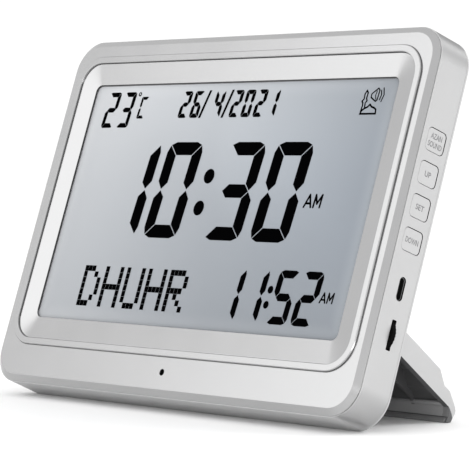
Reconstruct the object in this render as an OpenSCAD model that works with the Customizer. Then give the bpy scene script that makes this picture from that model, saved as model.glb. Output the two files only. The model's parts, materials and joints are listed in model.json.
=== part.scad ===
// Desk prayer-time clock: a leaning case with a large liquid-crystal display,
// four side buttons, a USB-C inlet, a volume thumbwheel and a fold-out stand.
// Every piece is drawn in the case's own upright frame (x right, y backwards from
// the front face, z up the face) and is then leaned back and set on the table.

/* [Case] */
// Width of the case
body_w = 212; // [200:1:230]
// Height of the front face
body_h = 152.5; // [146:0.5:165]
// Depth of the side walls, front face to back edge
side_depth = 18.5; // [18:0.1:22]
// Corner radius of the case outline
corner_r = 13.5; // [12:0.5:18]
// Thickness of the case walls
wall = 2.2; // [1.8:0.1:2.6]
// Width of the chamfer round the front face
chamfer_w = 2.95; // [2:0.05:4]
// Depth of the chamfer round the front face
chamfer_d = 2; // [1.4:0.1:2.4]
// How far the underside drops between the chamfer and the back edge
under_drop = 1.15; // [0.4:0.05:2]
// Backward lean of the case, degrees
lean = 19.43; // [15:0.01:22]
// Thickness of the flat that the case stands on, cut off its back edge
edge_flat = 0.3; // [0.2:0.05:0.5]
// Depth of the rim that the back cover shows behind the side walls
back_rim = 1.2; // [0.8:0.1:2]

/* [Bezel] */
// Outer edge of the raised rim, from the case sides
rim_side = 6.15; // [5:0.05:8]
// Outer edge of the raised rim, from the case top
rim_top = 7.9; // [7:0.1:10]
// Outer edge of the raised rim, from the case bottom
rim_bottom = 16.26; // [15:0.02:20]
// Width of the raised rim
rim_w = 2.86; // [2:0.02:4]
// Height of the raised rim
rim_h = 0.92; // [0.5:0.02:1.4]
// Corner radius of the raised rim
rim_r = 12.8; // [10:0.1:16]
// Slope of the rim's two flanks, measured across
rim_flank = 0.5; // [0.2:0.05:0.8]
// Edge of the display window, from the case sides
window_side = 17.75; // [16:0.05:20]
// Edge of the display window, from the case top
window_top = 20.14; // [18:0.02:23]
// Edge of the display window, from the case bottom
window_bottom = 28.57; // [27:0.01:32]
// Corner radius of the display window
window_r = 3; // [1:0.5:6]
// Depth of the bezel's slope at the window
bezel_drop = 1.42; // [1:0.02:1.6]
// Step from the bezel's lower edge to the display
window_step = 0.8; // [0.6:0.05:1]
// Thickness of the front cover behind its face
face_t = 2.2; // [1.8:0.1:2.2]
// Thickness of the bezel's clamping flange
flange_t = 1.2; // [0.8:0.1:1.4]
// Reach of the bezel's clamping flange behind the front cover
flange_w = 2; // [1.4:0.1:2.4]

/* [Display] */
// Border of the glass hidden behind the bezel
glass_border = 2.25; // [1.5:0.05:2.5]
// Thickness of each sheet of glass
glass_t = 0.9; // [0.7:0.05:1]
// Thickness of each polarising film
film_t = 0.2; // [0.15:0.05:0.25]
// Thickness of the light guide
guide_t = 1.8; // [1.4:0.1:1.8]
// Height of the contact ledge at the foot of the front glass
ledge_h = 4.5; // [3.5:0.1:5]

/* [Buttons] */
// Width of a button cap, front to back
button_w = 10; // [8:0.1:10.4]
// Height of a button cap
button_h = 8.6; // [7:0.1:9.2]
// Corner radius of a button cap
button_r = 1.7; // [0.8:0.1:2.5]
// Distance from one button to the next
button_pitch = 12.98; // [12:0.01:13.5]
// Height of the top button's centre
button_top = 109.3; // [107:0.1:112]
// Depth of the buttons' centre line behind the front face
button_y = 9.74; // [9.5:0.02:10.2]
// How far the caps stand out of the side wall
button_proud = 0.35; // [0.2:0.05:0.8]
// Travel of a button
button_travel = 0.6; // [0.3:0.05:0.8]
// Gap round a button cap
button_gap = 0.2; // [0.15:0.05:0.3]

/* [Volume wheel] */
// Radius of the thumbwheel
wheel_r = 7.6; // [7:0.1:8]
// Thickness of the thumbwheel
wheel_t = 1.95; // [1.4:0.05:2]
// How far the thumbwheel stands out of the side wall
wheel_proud = 1.42; // [1:0.02:1.6]
// Height of the thumbwheel's axis
wheel_z = 34.4; // [33:0.1:36]
// Length of the slot in the side wall
wheel_slot = 11.6; // [11:0.1:13]
// Number of grip notches round the thumbwheel
wheel_notches = 36; // [24:1:40]
// Radius of the post that the thumbwheel turns on
post_r = 1.5; // [1.2:0.1:1.8]

/* [USB-C inlet] */
// Height of the inlet's centre
usb_z = 51.9; // [50:0.1:54]
// Long side of the inlet's shell
usb_l = 8.94; // [8.9:0.01:9]
// Short side of the inlet's shell
usb_w = 3.16; // [3.1:0.01:3.2]
// Length of the inlet's shell
usb_d = 7.4; // [7:0.1:8]

/* [Stand] */
// Overall width of the stand
stand_w = 197.8; // [190:0.2:200]
// Depth of the stand's side flanges
stand_th = 8.65; // [8:0.05:9.4]
// Thickness of the stand's side flanges
flange_side = 3; // [2.4:0.1:3.4]
// Thickness of the stand's plate
stand_plate = 2; // [1.6:0.1:2.4]
// Length from the hinge axis to the stand's toe
stand_len = 42.85; // [40:0.05:46]
// Distance from the hinge axis to the step in the plate
step_at = 25.5; // [22:0.5:27]
// Depth of the step in the plate
step_drop = 3.6; // [2:0.1:4.2]
// Depth of the toe below the hinge axis, measured square to the plate
toe_drop = 8.55; // [7.8:0.05:10]
// Thickness of the toe wall
toe_t = 2.6; // [2:0.1:3.2]
// Height of the rubber strip let into the toe
strip_h = 1; // [0.6:0.1:1.4]
// Height of the hinge axis up the case
hinge_z = 35.95; // [34:0.05:39]
// Radius of the hinge pins
pin_r = 1.5; // [1.2:0.1:1.8]
// Width of a hinge lug
lug_w = 7; // [5:0.5:9]
// Thickness of the stand's ribs
rib_t = 1.6; // [1.2:0.1:2]
// Distance from one stand rib to the next
rib_pitch = 26.8; // [24:0.2:30]

/* [Rear housing] */
// Gap from the case sides to the rear housing
rear_side = 16; // [15:0.5:18]
// Gap from the case top to the rear housing
rear_gap = 4.5; // [4:0.5:6]
// Gap from the folded stand to the rear housing
rear_clear = 2.2; // [1.5:0.1:3]
// How far the rear housing stands out behind the case
rear_out = 13.8; // [13.6:0.1:15]
// Bevel round the rear housing's back face
rear_bevel = 2; // [1:0.1:2.4]
// Radius of the speaker's frame
speaker_r = 22.5; // [20:0.5:24]
// Sideways place of the speaker
speaker_x = 42; // [38:1:50]
// Radius of a battery cell
cell_r = 7.1; // [7:0.05:7.2]
// Length of a battery cell
cell_l = 50.5; // [49:0.5:51]
// Thickness of the battery door
door_t = 1.95; // [1.6:0.05:2]

/* [Circuit board] */
// Thickness of the circuit boards
pcb_t = 1.6; // [1.2:0.1:1.6]
// Height of the main board
pcb_h = 40; // [38:1:41]
// Radius of the sensor window in the front face
sensor_r = 1.25; // [0.8:0.05:1.6]
// Height of the sensor window's centre
sensor_z = 9.94; // [9:0.02:11]

/* [Hidden] */
$fn = 64;

// Fits
touch = 0.05;          // gap between faces that rest on each other
ease = 0.3;            // gap between pieces that only lie beside each other
run_gap = 0.06;        // radial gap of a turning fit
sliver = 0.01;         // thickness of the slices that a chamfered shape spans
slice = 0.1;           // the same, for the case's sloping outline

// Case
side_x = body_w / 2;
back_y = side_depth;
seam_y = side_depth - back_rim;
inner_x = side_x - wall;
inner_r = corner_r - wall;
function under_z(y) = -under_drop * (y - chamfer_d) / (side_depth - chamfer_d);

// Layers behind the face
film_y = bezel_drop + window_step;
glass_y = film_y + film_t;
rear_glass_y = glass_y + glass_t;
rear_film_y = rear_glass_y + glass_t;
guide_y = rear_film_y + film_t;
reflector_y = guide_y + guide_t;
flange_y = face_t + touch;
clamp_y = flange_y + flange_t;
pcb_y = reflector_y + film_t + ease;
pcb_back = pcb_y + pcb_t;

// Window, rim and glass outlines, as [low x, high x, low z, high z]
function grow(b, g) = [b[0] - g, b[1] + g, b[2] - g, b[3] + g];
rim_box = [rim_side - side_x, side_x - rim_side, rim_bottom, body_h - rim_top];
slope_box = grow(rim_box, -rim_w);
window_box = [window_side - side_x, side_x - window_side,
              window_bottom, body_h - window_top];
glass_box = grow(window_box, glass_border);
led_h = 1.8;           // height of the light strip above the light guide
cavity_box = [glass_box[0] - ease, glass_box[1] + ease,
              glass_box[2] - ledge_h - ease, glass_box[3] + led_h + ease];
lamp_pitch = (glass_box[1] - glass_box[0]) / 15;
lamp_w = 3;
collar_t = 2.4;        // wall of the display frame beside the glass
collar_box = grow(cavity_box, collar_t);
frame_box = [collar_box[0] - collar_t, collar_box[1] + collar_t,
             rim_bottom - 1, body_h - rim_top + 1];

// Board outline
pcb_low = glass_box[2] - ledge_h - 1.4;
pcb_high = pcb_low + pcb_h;
pcb_left = -0.29 * body_w;
strip_t = 2.4;         // height of the contact strip
strip_low = pcb_low + (ledge_h - strip_t) / 2 + 1.2;
pcb_right = inner_x - 1.3;
tab_w = 14;            // board tab that carries the light sensor

// Buttons and their switches
button_z = [for (i = [0 : 3]) button_top - i * button_pitch];
skirt_d = 1.6;         // depth of the front cover's skirt
skirt_t = 1.3;
keeper_t = 0.8;        // flange that keeps a cap in the case
keeper_w = 0.7;
keeper_x = inner_x - 0.1 - keeper_t;
plunger_r = 1.6;
plunger_l = 0.9;
plunger_x = keeper_x - touch - plunger_l;
switch_top = plunger_x + plunger_l - button_travel - 0.1;
switch_t = 3.3;
switch_w = 6.2;
key_x = switch_top - switch_t;
key_low = button_z[3] - 7.4;
key_high = button_z[0] + 11.7;
key_front = clamp_y + 0.75;
key_back = button_y + 5.5;

// Volume wheel
wheel_x = side_x + wheel_proud - wheel_r;
wheel_front = pcb_back + 1.15;
wheel_mid = wheel_front + wheel_t / 2;
pot_t = 0.95;

// Inlet
usb_x = side_x - 0.3 - usb_d;
usb_y = pcb_back + usb_w / 2;

// Stand
flank_x = stand_w / 2;
hinge_y = back_y + ease + stand_th / 2;
toe_reach = norm([stand_len, toe_drop]);
toe_angle = atan2(toe_drop, stand_len);
lug_r = pin_r + 1.7;
lug_out = flank_x - flange_side - ease;
lift = side_depth * sin(lean) + under_drop * cos(lean) - edge_flat;
hinge_high = hinge_z * cos(lean) - hinge_y * sin(lean) + lift;
stand_slope = toe_angle - asin(hinge_high / toe_reach);   // from level
stand_turn = stand_slope + lean;                          // in the case's frame
pin_deep = 0.9;        // skin of the flange beyond the pin's end
heel_r = stand_th / 2 + ease - 0.025;

// Rear housing
rear_w = body_w - 2 * rear_side;
rear_low = hinge_z + stand_len + rear_clear;
rear_high = body_h - rear_gap;
rear_mid = (rear_low + rear_high) / 2;
rear_y = back_y + rear_out;
rear_wall = 2;
rear_r = 8;
vault_y = rear_y - rear_wall;
tray_t = 1.5;
cell_gap = 0.4;
cell_pitch = 2 * cell_r + cell_gap;
spring_l = 4.6;
bay_l = cell_l + spring_l + 1.1;
bay_h = 3 * cell_pitch + cell_gap;
bay_x = -rear_w / 2 + 8;
bay_z = rear_mid - bay_h / 2;
cell_y = vault_y - cell_r - 0.5;
bay_y = cell_y - cell_r - 0.3;
door_gap = 0.25;
speaker_z = rear_mid;
speaker_y = vault_y - 0.8;

// Slots in the back plate over the circuit board
vent_w = 2;
vent_l = 12;
vent_pitch = 9;

// Screws
screw_r = 1.25;
head_r = 2.5;
head_t = 1.5;
boss_r = 3.2;
boss_in = 3.5;
screw_l = 9;
screw_at = [for (x = [-1, 1]) for (z = [corner_r - 2.9, body_h - corner_r + 2.9])
            [x * (inner_x - boss_in), z]];

// Centre of the finished object's box
centre_x = max(wheel_proud, button_proud) / 2;
front_edge = chamfer_w * sin(lean);
rear_edge = max([for (p = [[rear_y - rear_bevel, rear_high], [rear_y, rear_high - rear_bevel],
                           [back_y, body_h]]) p[0] * cos(lean) + p[1] * sin(lean)]);
centre_y = (front_edge + rear_edge) / 2;

silver = [0.86, 0.87, 0.88];
shadow_grey = [0.25, 0.25, 0.26];
board_green = [0.1, 0.42, 0.22];
steel = [0.72, 0.72, 0.74];
black = [0.08, 0.08, 0.09];
milky = [0.93, 0.94, 0.95];

// ---- Placing and drawing helpers ----

// Leans the upright case back and sets it on the table
module posed() {
    translate([-centre_x, -centre_y, lift]) rotate([-lean, 0, 0]) children();
}

// A flat outline drawn in (x, z), given thickness from depth y0 to y1
module plate(y0, y1) {
    translate([0, y1, 0]) rotate([90, 0, 0]) linear_extrude(y1 - y0) children();
}

// An outline drawn in (y, z), given thickness from x0 to x1
module side_plate(x0, x1) {
    translate([x0, 0, 0]) rotate([90, 0, 90]) linear_extrude(x1 - x0) children();
}

// Rounded rectangle from its box
module rounded(b, r) {
    translate([b[0] + r, b[2]]) square([b[1] - b[0] - 2 * r, b[3] - b[2]]);
    translate([b[0], b[2] + r]) square([b[1] - b[0], b[3] - b[2] - 2 * r]);
    for (x = [b[0] + r, b[1] - r]) for (z = [b[2] + r, b[3] - r])
        translate([x, z]) circle(r);
}

module box(b, y0, y1) {
    translate([b[0], y0, b[2]]) cube([b[1] - b[0], y1 - y0, b[3] - b[2]]);
}

// Rod along y, and rod along x
module rod_y(x, z, y0, y1, r) {
    translate([x, y0, z]) rotate([-90, 0, 0]) cylinder(h = y1 - y0, r = r);
}
module rod_x(y, z, x0, x1, r) {
    translate([x0, y, z]) rotate([0, 90, 0]) cylinder(h = x1 - x0, r = r);
}

// A turned shape about an axis along y, its profile in (radius, depth)
module turned(x, z, y0) {
    translate([x, y0, z]) rotate([-90, 0, 0]) rotate_extrude() children();
}

// Case outline at depth y, drawn in by inset
module outline(y, inset = 0) {
    rounded([inset - side_x, side_x - inset, under_z(y) + inset, body_h - inset],
            corner_r - inset);
}

// Case shape between two depths
module blended(y0, y1, inset = 0) {
    hull() {
        plate(y0, y0 + slice) outline(y0, inset);
        plate(y1 - slice, y1) outline(y1, inset);
    }
}

// Frame-shaped wedge between two boxes
module funnel(b0, r0, y0, b1, r1, y1) {
    hull() {
        plate(y0, y0 + sliver) rounded(b0, r0);
        plate(y1 - sliver, y1) rounded(b1, r1);
    }
}

// Everything below the table, in the case's frame
module below_table() {
    rotate([lean, 0, 0]) translate([-body_w, -body_w, -body_w - lift])
        cube([2 * body_w, 3 * body_w, body_w]);
}

// ---- Case ----

// Flat face, chamfer and skirt, with the opening that the bezel sits in
module front_cover() {
    posed() color(silver) difference() {
        union() {
            hull() {
                plate(0, sliver) outline(chamfer_d, chamfer_w);
                plate(chamfer_d - sliver, chamfer_d) outline(chamfer_d);
            }
            plate(chamfer_d, face_t) outline(chamfer_d, wall + touch);
            difference() {
                plate(face_t, chamfer_d + skirt_d) outline(chamfer_d, wall + 2 * touch);
                plate(face_t, chamfer_d + skirt_d + 1)
                    outline(chamfer_d, wall + 2 * touch + skirt_t);
            }
        }
        plate(-1, side_depth) rounded(grow(rim_box, touch), rim_r + touch);
        rod_y(0, sensor_z, -1, side_depth, sensor_r + touch);
    }
}

// Raised rim and sloped frame round the display
module display_bezel() {
    inner_rim_r = rim_r - rim_w;
    posed() color(silver) difference() {
        union() {
            funnel(grow(rim_box, -rim_flank), rim_r - rim_flank, -rim_h, rim_box, rim_r, 0);
            plate(0, film_y) rounded(rim_box, rim_r);
            difference() {
                plate(flange_y, clamp_y) rounded(grow(rim_box, flange_w), rim_r + flange_w);
                plate(flange_y - 1, clamp_y + 1) rounded(grow(collar_box, ease), 1);
            }
            difference() {
                plate(film_y - sliver, flange_y) rounded(rim_box, rim_r);
                plate(film_y - 1, flange_y + 1) rounded(grow(collar_box, ease), 1);
            }
        }
        funnel(grow(slope_box, rim_flank), inner_rim_r + rim_flank, -rim_h - sliver,
               slope_box, inner_rim_r, sliver);
        funnel(slope_box, inner_rim_r, 0, window_box, window_r, bezel_drop + sliver);
        plate(0, side_depth) rounded(window_box, window_r);
        for (p = display_screw_at) rod_y(p[0], p[1], 1.2, side_depth, 1);
    }
}

// Side walls with the openings for buttons, inlet and thumbwheel
module side_frame() {
    posed() color(silver) difference() {
        union() {
            difference() {
                blended(chamfer_d, seam_y);
                blended(chamfer_d - 1, seam_y + 1, wall);
            }
            screw_bosses();
            for (z = [key_low - 2 - touch, key_high + touch])
                box([key_x - pcb_t + 0.2, inner_x + 0.5, z, z + 2], pcb_back + 0.7, key_back);
        }
        for (p = screw_at) rod_y(p[0], p[1], seam_y - 1 - screw_l, side_depth, screw_r);
        for (z = button_z) side_plate(inner_x - 1, side_x + 1)
            rounded(grow(cap_box(z), button_gap), button_r + button_gap);
        side_plate(inner_x - 1, side_x + 1) rounded(grow(usb_box(), 0.12), usb_w / 2);
        box([inner_x - 1, side_x + 1, wheel_z - wheel_slot / 2, wheel_z + wheel_slot / 2],
            wheel_mid - wheel_t / 2 - 0.2, wheel_mid + wheel_t / 2 + 0.2);
        rod_y(wheel_x, wheel_z, wheel_mid - wheel_t / 2 - 0.2,
              wheel_mid + wheel_t / 2 + 0.2, wheel_r + 0.35);
    }
}

function cap_box(z) = [button_y - button_w / 2, button_y + button_w / 2,
                       z - button_h / 2, z + button_h / 2];
function usb_box() = [usb_y - usb_w / 2, usb_y + usb_w / 2, usb_z - usb_l / 2, usb_z + usb_l / 2];
display_screw_at = [for (x = [-0.28, 0.28] * body_w) for (z = [rim_bottom + rim_w / 2 - 0.2,
                                                  body_h - rim_top - rim_w / 2 + 0.2]) [x, z]];

// Posts that the back cover's screws bite into, tied to the nearest wall
module screw_bosses() {
    boss_front = pcb_back + 0.7;
    boss_back = seam_y - 1;
    for (p = screw_at) {
        edge = sign(p[0]) * (side_x - 1);
        rod_y(p[0], p[1], boss_front, boss_back, boss_r);
        box([min(p[0], edge), max(p[0], edge), p[1] - 1.2, p[1] + 1.2], boss_front, boss_back);
    }
}

// Back plate with the deep rear housing, speaker slots, battery opening and hinge lugs
module back_cover() {
    outer = [-rear_w / 2, rear_w / 2, rear_low, rear_high];
    posed() color(silver) difference() {
        union() {
            difference() {
                union() {
                    hull() {
                        plate(seam_y, seam_y + sliver) outline(seam_y);
                        plate(back_y - 0.4, back_y - 0.39) outline(back_y - 0.4);
                        plate(back_y - sliver, back_y) outline(back_y, 0.4);
                    }
                    plate(back_y - wall, seam_y + 0.1) outline(seam_y, wall + 2 * touch);
                    funnel(outer, rear_r, back_y - 1, grow(outer, -rear_bevel),
                           rear_r - rear_bevel, rear_y);
                    plate(back_y - 1, rear_y - rear_bevel) rounded(outer, rear_r);
                }
                plate(0, vault_y) rounded(grow(outer, -rear_wall), rear_r - rear_wall);
            }
            for (s = [-1, 1]) hinge_lug(s);
        }
        below_table();
        for (p = screw_at) {
            rod_y(p[0], p[1], 0, rear_y + 1, screw_r + 0.3);
            rod_y(p[0], p[1], back_y - head_t, back_y + 0.5, head_r + 0.3);
        }
        for (s = [-1, 1]) rod_x(hinge_y, hinge_z, min(s * lug_out, s * (lug_out - lug_w)) - 1,
                                max(s * lug_out, s * (lug_out - lug_w)) + 1, pin_r);
        plate(vault_y - 1, rear_y + 1) rounded(grow(door_box(), door_gap), 2);
        speaker_slots();
        for (i = [-2 : 2]) plate(back_y - wall - 1, back_y + 1)
            rounded([i * vent_pitch - vent_w / 2, i * vent_pitch + vent_w / 2,
                     rear_low - vent_l - 9, rear_low - 9], vent_w / 2 - 0.01);
    }
}

module hinge_lug(s) {
    x0 = min(s * lug_out, s * (lug_out - lug_w));
    side_plate(x0, x0 + lug_w) union() {
        translate([hinge_y, hinge_z]) circle(lug_r);
        translate([back_y - 0.5, hinge_z - lug_r]) square([hinge_y - back_y + 0.5, 2 * lug_r]);
        polygon([[back_y - 0.5, hinge_z - lug_r - 2.4], [back_y, hinge_z - lug_r - 2.4],
                 [hinge_y - 1, hinge_z - lug_r], [hinge_y - 1, hinge_z],
                 [back_y - 0.5, hinge_z]]);
    }
}

function door_box() = [bay_x - tray_t / 2, bay_x + bay_l + tray_t / 2,
                       bay_z - tray_t / 2, bay_z + bay_h + tray_t / 2];

module speaker_slots() {
    slot_pitch = 4.6;
    slot_half = 1.1;
    for (i = [-3 : 3]) {
        half = sqrt(pow(speaker_r - 5, 2) - pow(i * slot_pitch, 2));
        plate(vault_y - 1, rear_y + 1) rounded([speaker_x - half, speaker_x + half,
            speaker_z + i * slot_pitch - slot_half, speaker_z + i * slot_pitch + slot_half],
            slot_half - 0.01);
    }
}

module case_screws() {
    posed() color(steel) for (p = screw_at) difference() {
        union() {
            rod_y(p[0], p[1], back_y - head_t - screw_l, back_y - head_t, screw_r);
            rod_y(p[0], p[1], back_y - head_t, back_y - 0.1, head_r);
        }
        box([p[0] - 1.6, p[0] + 1.6, p[1] - 0.3, p[1] + 0.3], back_y - 0.8, back_y + 1);
        box([p[0] - 0.3, p[0] + 0.3, p[1] - 1.6, p[1] + 1.6], back_y - 0.8, back_y + 1);
    }
}

// ---- Display ----

module front_polarizer() {
    posed() color([0.75, 0.79, 0.8]) box(glass_box, film_y, glass_y);
}
module front_glass() {
    posed() color([0.8, 0.86, 0.86]) box([glass_box[0], glass_box[1],
        glass_box[2] - ledge_h, glass_box[3]], glass_y, rear_glass_y);
}
module rear_glass() {
    posed() color([0.78, 0.84, 0.86]) box(glass_box, rear_glass_y, rear_film_y);
}
module rear_polarizer() {
    posed() color([0.7, 0.72, 0.72]) box(glass_box, rear_film_y, guide_y);
}
module light_guide() {
    posed() color(milky) difference() {
        box(glass_box, guide_y, reflector_y);
        for (i = [-6 : 6]) rod_y(i * lamp_pitch, glass_box[3], guide_y - 1, reflector_y + 1, 0.8);
    }
}
module reflector_sheet() {
    posed() color("white") box(glass_box, reflector_y, reflector_y + film_t);
}

// Strip of small lamps that shines into the guide's top edge
module backlight_leds() {
    z0 = glass_box[3] + touch;
    posed() color([0.95, 0.92, 0.7]) union() {
        box([-7 * lamp_pitch, 7 * lamp_pitch, z0 + 0.9, z0 + led_h - touch], guide_y, reflector_y);
        for (i = [-6 : 6])
            box([i * lamp_pitch + lamp_w, i * lamp_pitch + 2 * lamp_w, z0, z0 + 1],
                guide_y + 0.3, reflector_y - 0.3);
    }
}

// Striped rubber that joins the glass to the board
module contact_strip() {
    posed() color([0.85, 0.5, 0.6])
        box([pcb_left + 4, glass_box[1] - 10, strip_low, strip_low + strip_t], rear_glass_y, pcb_y);
}

// Plastic frame that clamps bezel and glass to the front cover
module display_frame() {
    posed() color(milky) difference() {
        union() {
            box(collar_box, flange_y, clamp_y + 1);
            box(frame_box, clamp_y, pcb_y - touch);
            box([cavity_box[0] - 1, cavity_box[1] + 1, pcb_high + 1.5, cavity_box[3] + 1],
                reflector_y + film_t + touch, pcb_back - 0.6);
        }
        box(cavity_box, flange_y - 1, reflector_y + film_t + touch);
        box([cavity_box[0], cavity_box[1], cavity_box[2], pcb_high + 1.5], flange_y - 1, side_depth);
        for (p = display_screw_at) rod_y(p[0], p[1], 0, side_depth, 1.15);
        for (p = board_screw_at) rod_y(p[0], p[1], 0, side_depth, 0.9);
        for (x = [-70, -35, 0, 35, 70])
            plate(reflector_y, side_depth) rounded([x - 13, x + 13, pcb_high + 10, cavity_box[3] - 8], 3);
    }
}
board_screw_at = [for (x = [cavity_box[0] - 1.9, cavity_box[1] + 1.9])
                  for (z = [pcb_low + 6, pcb_high - 6]) [x, z]];

module display_screws() {
    posed() color(steel) for (p = display_screw_at) union() {
        rod_y(p[0], p[1], 1.3, pcb_y - touch, 1);
        rod_y(p[0], p[1], pcb_y - touch, pcb_y + 1, 1.9);
    }
}

// ---- Circuit boards ----

module main_board() {
    posed() color(board_green) difference() {
        union() {
            box([pcb_left, pcb_right, pcb_low, pcb_high], pcb_y, pcb_back);
            box([-tab_w / 2, tab_w / 2, sensor_z - 4, pcb_low + 1], pcb_y, pcb_back);
            box([cavity_box[0] - 4, pcb_left + 1, pcb_high - 12, pcb_high], pcb_y, pcb_back);
            box([cavity_box[0] - 4, pcb_left + 1, pcb_low, pcb_low + 12], pcb_y, pcb_back);
        }
        for (p = board_screw_at) rod_y(p[0], p[1], 0, side_depth, 1.1);
        rod_y(wheel_x, wheel_z, 0, side_depth, post_r - 0.4);
    }
}
module board_screws() {
    posed() color(steel) for (p = board_screw_at) union() {
        rod_y(p[0], p[1], pcb_y - 2.4, pcb_back, 0.9);
        rod_y(p[0], p[1], pcb_back, pcb_back + 0.9, 1.7);
    }
}
// Places on the main board, as shares of the case's width and of the board's height
function at_x(u) = u * body_w;
function at_z(v) = pcb_low + v * pcb_h;
module on_board(u, v, w, h, t) {
    box([at_x(u) - w / 2, at_x(u) + w / 2, at_z(v) - h / 2, at_z(v) + h / 2],
        pcb_back, pcb_back + t);
}
coin_r = 10;           // standard coin cell
coin_t = 3.2;
cell_front = pcb_back + 0.6;

module controller_chip() {
    r = 7.8;
    posed() color(black) turned(at_x(0.05), at_z(0.5), pcb_back)
        polygon([[0, 0], [r, 0], [r * 0.92, 0.7], [r * 0.74, 1.3], [r * 0.41, 1.8], [0, 2]]);
}
module sound_chip() {
    posed() color(black) on_board(-0.075, 0.27, 8, 5.3, 1.7);
}
module amplifier_chip() {
    posed() color(black) on_board(0.21, 0.6, 5, 4, 1.6);
}
module crystal() {
    posed() color(steel) rod_y(at_x(0.125), at_z(0.23), pcb_back, pcb_back + 6, 1.5);
}
module capacitors() {
    posed() color([0.15, 0.2, 0.4])
        for (u = [0.265, 0.31]) rod_y(at_x(u), at_z(0.3), pcb_back, pcb_back + 7, 3.15);
}
module backup_cell() {
    posed() color(steel) rod_y(at_x(-0.2), at_z(0.52), cell_front, cell_front + coin_t, coin_r);
}
module backup_cell_clip() {
    posed() color([0.8, 0.75, 0.55]) difference() {
        on_board(-0.2, 0.52, 2 * coin_r + 4, coin_r, coin_t + 1.1);
        rod_y(at_x(-0.2), at_z(0.52), cell_front - touch, cell_front + coin_t + touch,
              coin_r + touch);
    }
}
module light_sensor() {
    posed() color([0.9, 0.85, 0.6]) box([-1.6, 1.6, sensor_z - 1.6, sensor_z + 1.6], pcb_y - 1.1, pcb_y);
}

// Dark window pin in the front face
module sensor_window() {
    posed() color(black) union() {
        rod_y(0, sensor_z, 0.15, pcb_y - 1.1 - touch, sensor_r);
        rod_y(0, sensor_z, flange_y, flange_y + 0.8, sensor_r + 1);
    }
}
module temperature_sensor() {
    bead = [at_x(-0.24), pcb_back + 2.2, at_z(0.08)];
    posed() color([0.3, 0.2, 0.15]) union() {
        translate(bead) sphere(1.3);
        for (x = [-0.6, 0.6]) rod_y(bead[0] + x, bead[2], pcb_back, bead[1], 0.25);
    }
}

// Upright board behind the buttons, its four switches and its flat cable
module key_board() {
    posed() color(board_green)
        box([key_x - pcb_t, key_x, key_low, key_high], key_front, key_back);
}
module key_switches() {
    posed() color(black) for (z = button_z) difference() {
        translate([key_x, button_y - switch_w / 2, z - switch_w / 2]) cube([switch_t, switch_w, switch_w]);
        rod_x(button_y, z, plunger_x - button_travel - 0.2, side_x, plunger_r + 0.1);
    }
}
module key_cable() {
    cable_t = 0.4;
    x1 = key_x - pcb_t;
    posed() color([0.9, 0.9, 0.85]) union() {
        box([x1 - cable_t, x1, pcb_high - 8, key_low + 6], pcb_back, key_back - 1);
        box([x1 - 2.6, x1 - cable_t, pcb_high - 8, pcb_high - 1], pcb_back, pcb_back + cable_t);
    }
}

// Button cap: rounded block with a keeper flange behind the wall
module button(i) {
    z = button_z[i];
    posed() color([0.9, 0.91, 0.92]) union() {
        side_plate(keeper_x + keeper_t - touch, side_x + button_proud) rounded(cap_box(z), button_r);
        side_plate(keeper_x, keeper_x + keeper_t) rounded(grow(cap_box(z), keeper_w), button_r);
    }
}
module plunger(i) {
    posed() color(black) rod_x(button_y, button_z[i], plunger_x, plunger_x + plunger_l, plunger_r);
}

// ---- Inlet and volume wheel ----

module usb_shell() {
    skin = 0.3;
    posed() color(steel) difference() {
        side_plate(usb_x, usb_x + usb_d) rounded(usb_box(), usb_w / 2 - 0.01);
        side_plate(usb_x + 0.8, usb_x + usb_d + 1)
            rounded(grow(usb_box(), -skin), usb_w / 2 - skin - 0.01);
    }
}
module usb_tongue() {
    posed() color(black) translate([usb_x + 0.8, usb_y - 0.35, usb_z - 3.35]) cube([5.6, 0.7, 6.7]);
}

module volume_wheel() {
    posed() color(black) difference() {
        rod_y(wheel_x, wheel_z, wheel_mid - wheel_t / 2, wheel_mid + wheel_t / 2, wheel_r);
        rod_y(wheel_x, wheel_z, 0, side_depth, post_r + run_gap);
        for (i = [0 : wheel_notches - 1])
            translate([wheel_x, 0, wheel_z]) rotate([0, i * 360 / wheel_notches, 0])
                translate([wheel_r + 0.15, 0, 0]) rod_y(0, 0, 0, side_depth, 0.45, $fn = 8);
    }
}
module volume_control() {
    half = 4.2;
    posed() color(shadow_grey) union() {
        box([wheel_x - half, wheel_x + half - 1.6, wheel_z - half, wheel_z + half],
            pcb_back, pcb_back + pot_t);
        rod_y(wheel_x, wheel_z, pcb_back, wheel_mid + wheel_t / 2 + 0.7, post_r);
    }
}
module wheel_clip() {
    y0 = wheel_mid + wheel_t / 2 + 0.12;
    posed() color(steel) difference() {
        rod_y(wheel_x, wheel_z, y0, y0 + 0.5, post_r + 1.3);
        rod_y(wheel_x, wheel_z, y0 - 1, y0 + 1, post_r);
    }
}

// ---- Power and sound ----

// Open tray that carries the cells and seats the door
module battery_tray() {
    bay = [bay_x, bay_x + bay_l, bay_z, bay_z + bay_h];
    posed() color(shadow_grey) union() {
        difference() {
            box(grow(bay, tray_t), bay_y - tray_t, vault_y);
            box(bay, bay_y, vault_y + 1);
        }
        for (i = [1, 2]) box([bay_x + 8, bay_x + bay_l - 8, bay_z + i * cell_pitch - cell_gap / 2 + 0.1,
                              bay_z + i * cell_pitch + cell_gap / 2 + 0.2], bay_y - 0.1, cell_y - 2);
    }
}
function cell_z(i) = bay_z + cell_gap + cell_r + i * cell_pitch;

// Three cells, laid head to tail
module battery_cells() {
    posed() color([0.2, 0.35, 0.6]) for (i = [0 : 2]) {
        flip = i % 2;
        x0 = bay_x + (flip ? 0.55 : spring_l + 0.55);
        union() {
            rod_x(cell_y, cell_z(i), x0 + (flip ? 1 : 0), x0 + cell_l - (flip ? 0 : 1), cell_r);
            rod_x(cell_y, cell_z(i), x0, x0 + cell_l, 2.7);
        }
    }
}

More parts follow.
